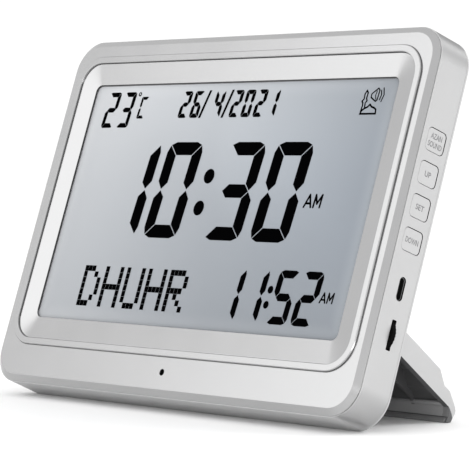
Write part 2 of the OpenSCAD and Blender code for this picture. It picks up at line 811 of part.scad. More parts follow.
// Tapered spring contacts at the cells' flat ends
module battery_springs() {
    turns = 3;
    wire = 0.4;
    posed() color(steel) for (i = [0 : 2]) {
        flip = i % 2;
        x0 = flip ? bay_x + bay_l - 0.5 : bay_x + 0.5;
        dir = flip ? -1 : 1;
        union() {
            translate([min(x0, x0 - dir * 0.45), cell_y - 5, cell_z(i) - 5]) cube([0.45, 10, 10]);
            for (k = [0 : turns - 1]) translate([x0 + dir * (k * 1.4 + wire - 0.05), cell_y, cell_z(i)])
                rotate([0, 90, 0]) rotate_extrude() translate([4.4 - k * 0.8, 0]) circle(wire, $fn = 16);
            translate([min(x0, x0 + dir * 3.6), cell_y - 4.6, cell_z(i) - 0.4]) cube([3.6, 1, 0.8]);
        }
    }
}
module battery_plates() {
    posed() color(steel) for (i = [0 : 2]) {
        flip = i % 2;
        x0 = flip ? bay_x + 0.05 : bay_x + bay_l - 0.5;
        translate([x0, cell_y - 5, cell_z(i) - 5]) cube([0.45, 10, 10]);
    }
}
module battery_door() {
    b = door_box();
    posed() color(silver) difference() {
        plate(rear_y - door_t, rear_y) rounded(b, 2 - door_gap);
        for (i = [0 : 3]) box([b[1] - 16, b[1] - 4, (b[2] + b[3]) / 2 - 6 + i * 3.4,
                               (b[2] + b[3]) / 2 - 4.6 + i * 3.4], rear_y - 0.6, rear_y + 1);
    }
}

module speaker_frame() {
    posed() color(shadow_grey) turned(speaker_x, speaker_z, speaker_y)
        polygon([[speaker_r - 3.5, 0], [speaker_r, 0], [speaker_r, -1], [speaker_r - 2, -1],
                 [13.5, -7], [13.5, -8.2], [5.2, -8.2], [5.2, -7.2], [12.3, -7.2],
                 [speaker_r - 3.5, -1.4]]);
}
module speaker_magnet() {
    posed() color(steel) union() {
        rod_y(speaker_x, speaker_z, speaker_y - 11.7, speaker_y - 8.2, 12);
        rod_y(speaker_x, speaker_z, speaker_y - 8.3, speaker_y - 7.4, 4);
    }
}
module speaker_cone() {
    rim = speaker_r - 3.6;
    posed() color([0.16, 0.16, 0.17]) turned(speaker_x, speaker_z, speaker_y)
        polygon([[0, -3.4], [3.2, -3.9], [4.4, -5], [rim - 2.6, -1.1], [rim - 1.4, -0.5],
                 [rim, -1.1], [rim, -1.5], [rim - 1.4, -1], [rim - 2.6, -1.6], [5, -5.6],
                 [5, -6.6], [4.5, -6.6], [4.5, -5.5], [3.2, -4.5], [0, -4]]);
}
module speaker_gasket() {
    posed() color(black) turned(speaker_x, speaker_z, speaker_y)
        translate([speaker_r - 3.5, 0]) square([3.5, vault_y - speaker_y]);
}

// ---- Stand ----

// Sets the stand's own frame (y along the plate, z square to it) at the hinge
module at_hinge() {
    translate([0, hinge_y, hinge_z]) rotate([stand_turn, 0, 0]) children();
}

// Outer line of the stand seen from the side, from the hinge to the toe
top_t = stand_th / 2;
step_t = top_t - step_drop;
root_at = 5.5;         // where the plate starts, clear of the lugs
outer_line = [[0, top_t], [step_at, top_t], [step_at + 5.8, step_t], [stand_len - 7.7, step_t],
              [stand_len - 1.5, step_t - 3.15], [stand_len - 0.35, step_t - 4.1],
              [stand_len, step_t - 5.3], [stand_len, strip_h - toe_drop]];
inner_line = [[stand_len - toe_t, strip_h - toe_drop], [stand_len - toe_t, step_t - 5.1],
              [stand_len - 4.4, step_t - 4.1], [stand_len - 8.7, step_t - stand_plate],
              [step_at + 5, step_t - stand_plate], [step_at - 0.9, top_t - stand_plate],
              [root_at, top_t - stand_plate], [root_at, top_t]];

module stand() {
    heel = heel_r * [-cos(stand_turn), sin(stand_turn)];
    heel_s = (heel_r + top_t * sin(stand_turn)) / -cos(stand_turn);
    posed() color(silver) at_hinge() difference() {
        union() {
            for (s = [-1, 1]) side_plate(min(s * flank_x, s * (flank_x - flange_side)),
                                         max(s * flank_x, s * (flank_x - flange_side))) union() {
                polygon(concat(outer_line, [[stand_len - toe_t, strip_h - toe_drop],
                                            [stand_len - 4.4, -top_t], [0, -top_t]]));
                circle(top_t);
                polygon([[0, 0], heel, [heel_s, -top_t], [0, -top_t]]);
            }
            side_plate(-flank_x, flank_x) polygon(concat([for (i = [1 : 7]) outer_line[i]], inner_line));
            side_plate(-flank_x, flank_x)
                translate([root_at, -top_t + 1.2]) square([1.8, stand_th - 1.2]);
            for (i = [-3 : 3]) side_plate(i * rib_pitch - rib_t / 2, i * rib_pitch + rib_t / 2)
                polygon([[root_at, 1 - top_t], [stand_len - 7, 1 - top_t], [stand_len - toe_t, step_t - 6],
                         [stand_len - 4.4, step_t - 4], [stand_len - 8.7, step_t - 1],
                         [step_at + 5, step_t - 1], [step_at - 0.9, top_t - 1], [root_at, top_t - 1]]);
        }
        for (s = [-1, 1]) rod_x(0, 0, min(s * (flank_x - pin_deep), s * (flank_x - flange_side - 1)),
                                max(s * (flank_x - pin_deep), s * (flank_x - flange_side - 1)),
                                pin_r + run_gap);
    }
}

// Rubber strip along the toe, cut level with the table
module stand_strip() {
    posed() color(black) difference() {
        at_hinge() side_plate(-flank_x + 1, flank_x - 1)
            polygon([[stand_len - toe_t, strip_h - toe_drop], [stand_len, strip_h - toe_drop],
                     [stand_len, -toe_drop - 3], [stand_len - toe_t, -toe_drop - 3]]);
        below_table();
    }
}

module hinge_pins() {
    posed() color(steel) for (s = [-1, 1])
        rod_x(hinge_y, hinge_z, min(s * (lug_out - lug_w), s * (flank_x - pin_deep - 0.2)),
              max(s * (lug_out - lug_w), s * (flank_x - pin_deep - 0.2)), pin_r);
}

front_cover();
display_bezel();
side_frame();
back_cover();
case_screws();
front_polarizer();
front_glass();
rear_glass();
rear_polarizer();
light_guide();
reflector_sheet();
backlight_leds();
contact_strip();
display_frame();
display_screws();
main_board();
controller_chip();
sound_chip();
amplifier_chip();
crystal();
capacitors();
backup_cell();
backup_cell_clip();
light_sensor();
sensor_window();
temperature_sensor();
board_screws();
key_board();
key_switches();
key_cable();
button(0);  // button_1
button(1);  // button_2
button(2);  // button_3
button(3);  // button_4
plunger(0);  // plunger_1
plunger(1);  // plunger_2
plunger(2);  // plunger_3
plunger(3);  // plunger_4
usb_shell();
usb_tongue();
volume_wheel();
volume_control();
wheel_clip();
battery_tray();
battery_cells();
battery_springs();
battery_plates();
battery_door();
speaker_frame();
speaker_magnet();
speaker_cone();
speaker_gasket();
stand();
stand_strip();
hinge_pins();
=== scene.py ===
import json
import math

import bmesh
import bpy
from mathutils import Matrix, Vector

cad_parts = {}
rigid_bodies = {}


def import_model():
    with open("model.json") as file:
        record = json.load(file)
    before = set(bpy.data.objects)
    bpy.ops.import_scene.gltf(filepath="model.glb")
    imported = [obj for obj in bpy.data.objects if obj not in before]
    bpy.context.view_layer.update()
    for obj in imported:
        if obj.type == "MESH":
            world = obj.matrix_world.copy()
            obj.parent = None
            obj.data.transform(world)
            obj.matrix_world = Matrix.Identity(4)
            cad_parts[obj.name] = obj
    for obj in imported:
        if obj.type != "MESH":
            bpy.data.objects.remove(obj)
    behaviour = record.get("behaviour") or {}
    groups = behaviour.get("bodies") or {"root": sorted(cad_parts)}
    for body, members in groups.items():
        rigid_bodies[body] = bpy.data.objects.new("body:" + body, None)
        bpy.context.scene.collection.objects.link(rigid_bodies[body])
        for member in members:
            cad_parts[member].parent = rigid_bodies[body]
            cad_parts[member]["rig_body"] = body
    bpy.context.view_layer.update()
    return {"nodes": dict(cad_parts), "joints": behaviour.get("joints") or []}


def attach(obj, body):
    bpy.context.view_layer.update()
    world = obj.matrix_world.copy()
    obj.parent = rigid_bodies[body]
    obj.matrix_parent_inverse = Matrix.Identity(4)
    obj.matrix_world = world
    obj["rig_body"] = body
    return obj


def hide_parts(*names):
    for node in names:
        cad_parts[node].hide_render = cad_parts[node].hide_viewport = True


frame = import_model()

# ---- Front cover ----
# The flat face plate of the case, moulded in plastic and sprayed with a fine satin silver.
# Its edge is chamfered all round, and its skirt snaps into the side frame.
# Everything on the case is drawn upright, in millimetres, and leaned back with the hinge line.

lean = math.radians(19.43)
hinge = next(j for j in frame["joints"] if j["name"] == "stand_fold")
hinge_line = Vector((0, 23.125, 35.95))
case_place = (Matrix.Translation(hinge["pos_m"]) @ Matrix.Rotation(-lean, 4, "X")
              @ Matrix.Scale(0.001, 4) @ Matrix.Translation(-hinge_line))
to_upright = Matrix.Rotation(math.radians(90), 4, "X")


def rounded_loop(bm, low_x, high_x, low_z, high_z, radius, depth, steps):
    """An upright rounded rectangle of edges, standing at that depth behind the face."""
    made = bmesh.ops.create_grid(bm, x_segments=1, y_segments=1, size=0.5)
    size = Matrix.Diagonal((high_x - low_x, 1, high_z - low_z, 1))
    middle = Vector(((low_x + high_x) / 2, depth, (low_z + high_z) / 2))
    place = Matrix.Translation(middle) @ size @ to_upright
    bmesh.ops.transform(bm, matrix=place, verts=made["verts"])
    cut = bmesh.ops.bevel(bm, geom=made["verts"], offset=radius, offset_type="OFFSET",
                          segments=steps, profile=0.5, affect="VERTICES", material=-1)
    face = next(f for f in cut["verts"][0].link_faces if len(f.verts) > 4)
    edges = list(face.edges)
    bmesh.ops.delete(bm, geom=[face], context="FACES_ONLY")
    return edges


def rounded_skin(bm, rows, steps=12):
    """Walls through rounded rectangles: a row is low x, high x, low z, high z, radius, depth."""
    first = edges = rounded_loop(bm, *rows[0], steps)
    for old, new in zip(rows, rows[1:]):
        made = bmesh.ops.extrude_edge_only(bm, edges=edges)["geom"]
        verts = {g for g in made if isinstance(g, bmesh.types.BMVert)}
        edges = [g for g in made if isinstance(g, bmesh.types.BMEdge) and set(g.verts) <= verts]
        for v in verts:
            right = v.co.x > (old[0] + old[1]) / 2
            above = v.co.z > (old[2] + old[3]) / 2
            turn_x = v.co.x - (old[1] - old[4] if right else old[0] + old[4])
            turn_z = v.co.z - (old[3] - old[4] if above else old[2] + old[4])
            v.co = ((new[1] - new[4] if right else new[0] + new[4]) + turn_x * new[4] / old[4],
                    new[5],
                    (new[3] - new[4] if above else new[2] + new[4]) + turn_z * new[4] / old[4])
    return first, edges


def rounded_block(bm, rows, steps):
    """A rounded skin closed at both ends."""
    for edges in rounded_skin(bm, rows, steps):
        bmesh.ops.edgeloop_fill(bm, edges=edges)


def thicken(bm, faces, along):
    """Gives flat faces their thickness."""
    made = bmesh.ops.extrude_face_region(bm, geom=faces)
    moved = [v for v in made["geom"] if isinstance(v, bmesh.types.BMVert)]
    bmesh.ops.translate(bm, vec=along, verts=moved)


def soften(piece, width, segments):
    """Rounds a piece's edges a little, as the mould leaves them."""
    edge = piece.modifiers.new("soft edge", "BEVEL")
    edge.width = width
    edge.segments = segments
    edge.limit_method = "ANGLE"
    edge.angle_limit = math.radians(28)
    edge.harden_normals = True


def set_down(bm, name, coat, body, nodes=(), soft_edge=0.0, place=case_place, steps=3, join=0.002):
    """Turns a drawn shape into a piece of the clock in its real place."""
    bmesh.ops.remove_doubles(bm, verts=bm.verts, dist=join)
    bmesh.ops.recalc_face_normals(bm, faces=bm.faces)
    bmesh.ops.transform(bm, matrix=place, verts=bm.verts)
    mesh = bpy.data.meshes.new(name)
    bm.to_mesh(mesh)
    bm.free()
    for p in mesh.polygons:
        p.use_smooth = True
    piece = bpy.data.objects.new(name, mesh)
    bpy.context.scene.collection.objects.link(piece)
    if soft_edge:
        soften(piece, soft_edge / 1000, steps)
    mesh.materials.append(coat)
    if body:
        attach(piece, body)
        if nodes:
            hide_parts(*nodes)
    return piece


def finish_coat(name, colour, roughness, metallic=0.0, mottle=0.03, mottle_scale=60.0,
                grain=0.05, grain_scale=2500.0, coat=0.0, rough_change=0.06, shine=0.5):
    """A surface with a slight mottle in its colour, uneven gloss and a fine grain."""
    m = bpy.data.materials.new(name)
    m.use_nodes = True
    nt = m.node_tree
    shader = nt.nodes["Principled BSDF"]
    shader.inputs["Metallic"].default_value = metallic
    if metallic == 1:
        shader.inputs["Specular Tint"].default_value = (0.85, 0.85, 0.85, 1)
    shader.inputs["Specular IOR Level"].default_value = shine
    shader.inputs["Coat Weight"].default_value = coat
    shader.inputs["Coat Roughness"].default_value = 0.12
    where = nt.nodes.new("ShaderNodeTexCoord")
    cloud = nt.nodes.new("ShaderNodeTexNoise")
    cloud.inputs["Scale"].default_value = mottle_scale
    cloud.inputs["Detail"].default_value = 4
    nt.links.new(where.outputs["Object"], cloud.inputs["Vector"])
    tint = nt.nodes.new("ShaderNodeValToRGB")
    tint.color_ramp.elements[0].position = 0.3
    tint.color_ramp.elements[1].position = 0.7
    tint.color_ramp.elements[0].color = [c * (1 - mottle) for c in colour] + [1]
    tint.color_ramp.elements[1].color = [min(1, c * (1 + mottle)) for c in colour] + [1]
    nt.links.new(cloud.outputs["Fac"], tint.inputs["Fac"])
    nt.links.new(tint.outputs["Color"], shader.inputs["Base Color"])
    gloss = nt.nodes.new("ShaderNodeMapRange")
    gloss.inputs["To Min"].default_value = roughness - rough_change
    gloss.inputs["To Max"].default_value = roughness + rough_change
    nt.links.new(cloud.outputs["Fac"], gloss.inputs["Value"])
    nt.links.new(gloss.outputs["Result"], shader.inputs["Roughness"])
    speckle = nt.nodes.new("ShaderNodeTexNoise")
    speckle.inputs["Scale"].default_value = grain_scale
    speckle.inputs["Detail"].default_value = 2
    nt.links.new(where.outputs["Object"], speckle.inputs["Vector"])
    bump = nt.nodes.new("ShaderNodeBump")
    bump.inputs["Strength"].default_value = grain
    bump.inputs["Distance"].default_value = 0.0001
    nt.links.new(speckle.outputs["Fac"], bump.inputs["Height"])
    nt.links.new(bump.outputs["Normal"], shader.inputs["Normal"])
    return m


fine_spray = {"mottle": 0.012, "grain": 0.05, "grain_scale": 6000, "rough_change": 0.02}
silver_paint = finish_coat("satin_silver_paint", (0.43, 0.43, 0.432), 0.24, metallic=1,
                           **fine_spray)
# Painted shade: dark and grey coats for the seams, gaps and overhangs, where shade falls.
painted_shade_dark = finish_coat("dark_painted_shade", (0.03, 0.03, 0.031), 0.7, grain=0.02)
painted_shade_grey = finish_coat("grey_painted_shade", (0.10, 0.10, 0.102), 0.7, grain=0.02)
painted_gap_shade = finish_coat("grey_painted_gap_shade", (0.25, 0.25, 0.252), 0.7, grain=0.02)

# Rows from the foot of the chamfer, over the face and down the bezel's opening, round the back.
face_plate = bmesh.new()
rounded_skin(face_plate, [
    (-105.55, 105.55, 0.2, 152.3, 13.05, 1.92),
    (-103.05, 103.05, 2.95, 149.55, 10.55, 0),
    (-100.0, 100.0, 16.1, 144.75, 12.95, 0),
    (-100.0, 100.0, 16.1, 144.75, 12.95, 2.2),
    (-103.7, 103.7, 2.3, 150.2, 11.2, 2.2),
    (-103.7, 103.7, 2.3, 150.2, 11.2, 1.92),
    (-105.55, 105.55, 0.2, 152.3, 13.05, 1.92),
])
front_cover = set_down(face_plate, "front_cover_shell", silver_paint, "case", ["front_cover"],
                       soft_edge=0.22)


def cut_away(piece, cutter_bm, coat=None):
    """Cuts a drawn shape out of a piece; the cut's walls can have their own coat."""
    bmesh.ops.recalc_face_normals(cutter_bm, faces=cutter_bm.faces)
    if coat is not None:
        piece.data.materials.append(coat)
        for wall in cutter_bm.faces:
            wall.material_index = len(piece.data.materials) - 1
    bmesh.ops.transform(cutter_bm, matrix=case_place, verts=cutter_bm.verts)
    mesh = bpy.data.meshes.new("cutter")
    cutter_bm.to_mesh(mesh)
    cutter_bm.free()
    tool = bpy.data.objects.new("cutter", mesh)
    bpy.context.scene.collection.objects.link(tool)
    kept = [(m.width, m.segments) for m in piece.modifiers if m.type == "BEVEL"]
    piece.modifiers.clear()
    cut = piece.modifiers.new("cut", "BOOLEAN")
    cut.object = tool
    cut.solver = "EXACT"
    state = bpy.context.evaluated_depsgraph_get()
    shape = bpy.data.meshes.new_from_object(piece.evaluated_get(state))
    piece.modifiers.clear()
    shape.name = piece.data.name
    piece.data = shape
    bpy.data.objects.remove(tool)
    for p in piece.data.polygons:
        p.use_smooth = True
    for width, segments in kept:
        soften(piece, width, segments)


def round_rod(bm, x, z, front, back, radius):
    """A rod along the case's depth."""
    made = bmesh.ops.create_cone(bm, cap_ends=True, segments=32, radius1=radius, radius2=radius,
                                 depth=back - front)
    middle = Matrix.Translation((x, (front + back) / 2, z))
    bmesh.ops.transform(bm, matrix=middle @ to_upright, verts=made["verts"])


sensor_height = 9.94
sensor_hole = bmesh.new()
round_rod(sensor_hole, 0, sensor_height, -2, 6, 1.3)
cut_away(front_cover, sensor_hole)

# ---- Display bezel ----
# A second silver moulding, set into the front cover from behind: a raised rim round a shallow
# slope that leads down to the display. A fine dark line runs round the rim on both sides, a real
# seam deepened by painted shade.

# Rows from the flange, over the rim, through the seam at its inner foot and down the slope.
slope_top, slope_foot = 0.08, 1.42
bezel = bmesh.new()
rounded_skin(bezel, [
    (-99.85, 99.85, 16.26, 144.6, 12.8, 2.1),
    (-99.85, 99.85, 16.26, 144.6, 12.8, -0.62),
    (-99.55, 99.55, 16.56, 144.3, 12.5, -0.92),
    (-97.25, 97.25, 18.87, 141.99, 10.19, -0.92),
    (-97.0, 97.0, 19.12, 141.74, 9.94, -0.67),
    (-97.0, 97.0, 19.12, 141.74, 9.94, -0.4),
    (-97.0, 97.0, 19.12, 141.74, 9.94, 0.5),
    (-96.88, 96.88, 19.24, 141.62, 9.82, 0.5),
    (-96.88, 96.88, 19.24, 141.62, 9.82, 0.1),
    (-96.65, 96.65, 19.47, 141.39, 9.59, slope_top),
    (-88.25, 88.25, 28.57, 132.36, 3, slope_foot),
    (-88.25, 88.25, 28.57, 132.36, 3, 1.6),
    (-88.25, 88.25, 28.57, 132.36, 3, 2.18),
    (-90, 90, 26.8, 134, 3, 2.18),
    (-99.85, 99.85, 16.26, 144.6, 12.8, 2.1),
])
for edge in bezel.edges:
    edge.smooth = not any(all(abs(v.co.y - level) < 0.01 for v in edge.verts)
                          for level in (slope_top, slope_foot))

# Painted shade: the seam's walls are coloured grey, and the walls under the window's upper and
# left edges dark, where shade falls in the gaps.
rim_side, rim_middle, rim_excess = 97.0, 80.43, 35.6
window_right, window_low = 86, 31.465
bezel.normal_update()
for wall in bezel.faces:
    middle = wall.calc_center_median()
    upright = abs(wall.normal.y) < 0.3
    beyond_rim = max(abs(middle.x), abs(middle.z - rim_middle) + rim_excess) - rim_side
    in_seam = -0.4 < middle.y < 0.51 and abs(beyond_rim) < 0.2
    under_edge = middle.y > slope_foot + 0.01 and middle.x < window_right and middle.z > window_low
    wall.material_index = (1 if in_seam else 2 if under_edge else 0) if upright else 0
display_bezel = set_down(bezel, "display_bezel_frame", silver_paint, "case", ["display_bezel"],
                         soft_edge=0.06, steps=2)
display_bezel.data.materials.append(painted_shade_grey)
display_bezel.data.materials.append(painted_shade_dark)

# The dark line at the rim's outer foot is the gap to the front cover, closed below by the flange;
# the gap's floor is coloured grey as painted shade.
gap_floor = bmesh.new()
rounded_skin(gap_floor, [
    (-100.2, 100.2, 15.9, 144.95, 13.15, 0.15),
    (-99.8, 99.8, 16.3, 144.55, 12.75, 0.15),
    (-99.8, 99.8, 16.3, 144.55, 12.75, 1.2),
    (-100.2, 100.2, 15.9, 144.95, 13.15, 1.2),
    (-100.2, 100.2, 15.9, 144.95, 13.15, 0.15),
])
set_down(gap_floor, "bezel_gap_floor", painted_gap_shade, "case")

# ---- Display ----
# The liquid-crystal stack: a grey plastic film, glued to glass, on which the figures show black.
# It lies 0.8 mm below the bezel's lower edge, held by the frame behind.

film_face, film_back = 2.25, 2.42
film = bmesh.new()
rounded_block(film, [(-90.5, 90.5, 26.32, 134.61, 0.2, depth) for depth in (film_face, film_back)],
              steps=2)
grey_film = bpy.data.materials.new("grey_display_film")
grey_film.use_nodes = True
nt = grey_film.node_tree
shader = nt.nodes["Principled BSDF"]
shader.inputs["Roughness"].default_value = 0.35
shader.inputs["Specular IOR Level"].default_value = 0.15
where = nt.nodes.new("ShaderNodeTexCoord")


def place_on_case(nt, where, middle, reach):
    """Turns a point into its place on the case: 0 at the middle, 1 at the reach in metres."""
    level = nt.nodes.new("ShaderNodeMapping")
    level.vector_type = "TEXTURE"
    level.inputs["Location"].default_value = case_place @ Vector(middle)
    level.inputs["Rotation"].default_value = (-lean, 0, 0)
    level.inputs["Scale"].default_value = reach
    split = nt.nodes.new("ShaderNodeSeparateXYZ")
    nt.links.new(where.outputs["Object"], level.inputs["Vector"])
    nt.links.new(level.outputs["Vector"], split.inputs["Vector"])
    return split.outputs


def math_step(nt, operation, *parts):
    """One step of a sum in a material: a part is a number or what an earlier step gives."""
    step = nt.nodes.new("ShaderNodeMath")
    step.operation = operation
    for socket, part in zip(step.inputs, parts):
        if isinstance(part, float):
            socket.default_value = part
        else:
            nt.links.new(part, socket)
    return step.outputs[0]


# Painted light: the film's colour is lightest at its left, in its corners and close to its edges,
# standing in for the reflections across it and brightened against the shade at the bezel's edges.
on_film = place_on_case(nt, where, (0, film_face, 80.5), (0.088, 1, 0.052))
across, up = on_film["X"], on_film["Z"]
rightward, upward, outward, slantwise, by_edge = -0.363, 0.095, 0.124, -0.084, 0.118
glow = []
for part, start in ((across, 0.91), (up, 0.846)):
    near_edge = nt.nodes.new("ShaderNodeMapRange")
    near_edge.interpolation_type = "SMOOTHSTEP"
    near_edge.inputs["From Min"].default_value = start
    nt.links.new(math_step(nt, "ABSOLUTE", part), near_edge.inputs["Value"])
    glow.append(near_edge.outputs["Result"])
shade = math_step(nt, "MULTIPLY_ADD", across, rightward, 0.28)
shade = math_step(nt, "MULTIPLY_ADD", up, upward, shade)
spread = math_step(nt, "MULTIPLY_ADD", up, up, math_step(nt, "MULTIPLY", across, across))
shade = math_step(nt, "MULTIPLY_ADD", spread, outward, shade)
shade = math_step(nt, "MULTIPLY_ADD", math_step(nt, "MULTIPLY", across, up), slantwise, shade)
shade = math_step(nt, "MULTIPLY_ADD", math_step(nt, "MAXIMUM", *glow), by_edge, shade)
ramp = nt.nodes.new("ShaderNodeValToRGB")
ramp.color_ramp.elements[0].color = (0.240, 0.266, 0.300, 1)
ramp.color_ramp.elements[1].color = (0.700, 0.717, 0.739, 1)
nt.links.new(shade, ramp.inputs["Fac"])
nt.links.new(ramp.outputs["Color"], shader.inputs["Base Color"])
texture = nt.nodes.new("ShaderNodeTexNoise")
texture.inputs["Scale"].default_value = 5000
bump = nt.nodes.new("ShaderNodeBump")
bump.inputs["Strength"].default_value = 0.03
bump.inputs["Distance"].default_value = 0.00005
nt.links.new(where.outputs["Object"], texture.inputs["Vector"])
nt.links.new(texture.outputs["Fac"], bump.inputs["Height"])
nt.links.new(bump.outputs["Normal"], shader.inputs["Normal"])
display_film = set_down(film, "display_film", grey_film, "case", ["front_polarizer"])

# Painted shade under the bezel's edge, at the top and the left, where the bezel overhangs
# the film: a thin grey ring laid on the film.
window_shade = bmesh.new()
rounded_skin(window_shade, [
    (-88.6, 88.6, 28.2, 132.7, 3.0, 2.225),
    (-88.1, 88.45, 28.35, 131.95, 3.0, 2.225),
    (-88.1, 88.45, 28.35, 131.95, 3.0, 2.24),
    (-88.6, 88.6, 28.2, 132.7, 3.0, 2.24),
    (-88.6, 88.6, 28.2, 132.7, 3.0, 2.225),
])
set_down(window_shade, "window_shade", painted_shade_grey, "case")

# ---- Figures on the display ----
# Switched-on segments: black, tapered where they meet, with a hair of painted light between them.
# Each figure leans a little to the right.

segment_black = finish_coat("display_black", (0.001, 0.001, 0.0012), 0.6, mottle=0.05, grain=0.01,
                            shine=0)
# Painted light: a pale hair round the black segments.
painted_light_halo = finish_coat("display_painted_light_halo", (0.66, 0.68, 0.70), 0.5, mottle=0.02, grain=0.01,
                         shine=0.1)
lit = {"0": "abcdef", "1": "bc", "2": "abdeg", "3": "abcdg", "4": "bcfg", "5": "acdfg",
       "6": "acdefg", "C": "adef"}
ink_depth, ink_thick = 2.2, 0.02
edge_depth, edge_thick = 2.24, 0.006


def flat_shape(bm, points, narrow):
    """One flat inked shape from its corners, drawn in by half the gap to the next."""
    corners = [bm.verts.new((x, ink_depth, z)) for x, z in points]
    shape = bm.faces.new(corners)
    shape.normal_update()
    if narrow:
        ring = bmesh.ops.inset_region(bm, faces=[shape], thickness=narrow, use_even_offset=True,
                                      use_boundary=True)
        bmesh.ops.delete(bm, geom=ring["faces"], context="FACES")


def figure(bm, sign, left, low, wide, high, bar, post, curve, gap):
    """A seven-segment figure in its cell, drawn larger by the hair that flat_shape takes off."""
    slant = 0.066
    left, low, wide, high = left - gap, low - gap, wide + 2 * gap, high + 2 * gap
    bar, post = bar + 2 * gap, post + 2 * gap
    mid = high / 2

    # The outer corners have radius r, cut at k where two segments meet. Uprights end in a tip.
    r, k, tip = curve, 0.29 * curve, 0.6 * bar
    shapes = {
        "a": [(k, high - k), (r, high), (wide - r, high), (wide - k, high - k),
              (wide - post, high - bar), (post, high - bar)],
        "g": [(post / 2, mid), (post, mid + bar / 2), (wide - post, mid + bar / 2),
              (wide - post / 2, mid), (wide - post, mid - bar / 2), (post, mid - bar / 2)],
        "d": [(k, k), (post, bar), (wide - post, bar), (wide - k, k), (wide - r, 0), (r, 0)],
        "f": [(k, high - k), (post, high - bar), (post, mid + bar / 2), (post / 2, mid),
              (0, mid + tip), (0, high - r)],
        "b": [(wide - k, high - k), (wide, high - r), (wide, mid + tip), (wide - post / 2, mid),
              (wide - post, mid + bar / 2), (wide - post, high - bar)],
        "e": [(k, k), (0, r), (0, mid - tip), (post / 2, mid), (post, mid - bar / 2), (post, bar)],
        "c": [(wide - k, k), (wide - post, bar), (wide - post, mid - bar / 2),
              (wide - post / 2, mid), (wide, mid - tip), (wide, r)],
    }
    for name in lit[sign]:
        flat_shape(bm, [(left + x + (z - mid) * slant, low + z) for x, z in shapes[name]], gap)


def dot(bm, x, z, width, height, sides=24):
    """A round or oval inked dot."""
    made = bmesh.ops.create_circle(bm, cap_ends=True, segments=sides, radius=0.5)
    place = (Matrix.Translation((x, ink_depth, z)) @ Matrix.Diagonal((width, 1, height, 1))
             @ to_upright)
    bmesh.ops.transform(bm, matrix=place, verts=made["verts"])


def print_on_film(bm, name, hair=0.3):
    """Sets down the inked shapes, a hair thick, over a line of painted light all round them."""
    halo = bm.copy()
    bmesh.ops.recalc_face_normals(halo, faces=halo.faces)
    for shape in list(halo.faces):
        bmesh.ops.inset_region(halo, faces=[shape], thickness=hair, use_outset=True,
                               use_boundary=True, use_even_offset=True)
    bmesh.ops.translate(halo, vec=(0, edge_depth - ink_depth, 0), verts=halo.verts)
    for layer, coat, thick, part in ((halo, painted_light_halo, edge_thick, "_light"),
                                     (bm, segment_black, ink_thick, "")):
        thicken(layer, list(layer.faces), (0, thick, 0))
        sheet = set_down(layer, name + part, coat, "case")
        for p in sheet.data.polygons:
            p.use_smooth = False


time_figures = bmesh.new()
for sign, left in (("1", -59.4), ("0", -34.15), ("3", 2.4), ("0", 28.9)):
    figure(time_figures, sign, left, low=65.45, wide=21.1, high=41.2, bar=5.63, post=5.7, curve=4.6,
           gap=0.2)
dot(time_figures, -4.25, 92.1, 5.9, 6.3)
dot(time_figures, -5.6, 78.6, 5.9, 6.3)
print_on_film(time_figures, "time_figures")

next_time = bmesh.new()
for sign, left, wide in (("1", 20.6, 10.3), ("1", 33.4, 10.3), ("5", 48.8, 11), ("2", 61.9, 11)):
    figure(next_time, sign, left, low=33.1, wide=wide, high=21.6, bar=3.15, post=2.9, curve=2.5,
           gap=0.13)
dot(next_time, 46.55, 46.65, 2.9, 3.1)
dot(next_time, 46.1, 40.6, 2.9, 3.1)
print_on_film(next_time, "next_time_figures")

warmth = bmesh.new()
for sign, left in (("2", -79.5), ("3", -69.6)):
    figure(warmth, sign, left, low=113.2, wide=7.3, high=15.9, bar=2.1, post=2.0, curve=1.3,
           gap=0.06)
figure(warmth, "C", -58.2, low=117.2, wide=4.4, high=9.7, bar=1.35, post=1.2, curve=0.7, gap=0.05)
ring = bmesh.ops.create_circle(warmth, cap_ends=True, segments=20, radius=0.95)
bmesh.ops.transform(warmth, matrix=Matrix.Translation((-59.75, ink_depth, 128.1)) @ to_upright,
                    verts=ring["verts"])
disc = ring["verts"][0].link_faces[0]
bmesh.ops.inset_region(warmth, faces=[disc], thickness=0.5, use_boundary=True)
bmesh.ops.delete(warmth, geom=[disc], context="FACES_ONLY")
print_on_film(warmth, "temperature_figures")

date = bmesh.new()
for sign, left in (("2", -32.4), ("6", -25.4), ("4", -12.5), ("2", -1.8), ("0", 5.1), ("2", 12.1),
                   ("1", 19.1)):
    figure(date, sign, left, low=117.2, wide=5.4, high=11.7, bar=1.9, post=1.8, curve=1.2, gap=0.06)
for low_x in (-19.37, -5.95):
    flat_shape(date, [(low_x - 0.65, 117.1), (low_x + 0.65, 117.1), (low_x + 3.8, 129.1),
                      (low_x + 2.5, 129.1)], 0)
print_on_film(date, "date_figures")

# The name of the next prayer time, in square dots, seven rows high.
letters = {"D": ["1110", "1001", "10001", "10001", "10001", "1001", "1110"],
           "H": ["10001", "10001", "10001", "11111", "10001", "10001", "10001"],
           "U": ["10001", "10001", "10001", "10001", "10001", "10001", "01110"],
           "R": ["11110", "10001", "10001", "11110", "1010", "1001", "10001"]}
letter_step, dot_step, row_step, dot_wide, dot_high = 13.3, 2.26, 2.5, 2.16, 2.4
word = bmesh.new()
for place_in_word, letter in enumerate("DHUHR"):
    for row, marks in enumerate(letters[letter]):
        for column, mark in enumerate(marks):
            if mark == "1":
                left = -65.3 + letter_step * place_in_word + dot_step * column
                low = 52.5 - row_step * (row + 1)
                flat_shape(word, [(left, low), (left + dot_wide, low),
                                  (left + dot_wide, low + dot_high), (left, low + dot_high)], 0)
print_on_film(word, "prayer_name_dots", hair=0.2)


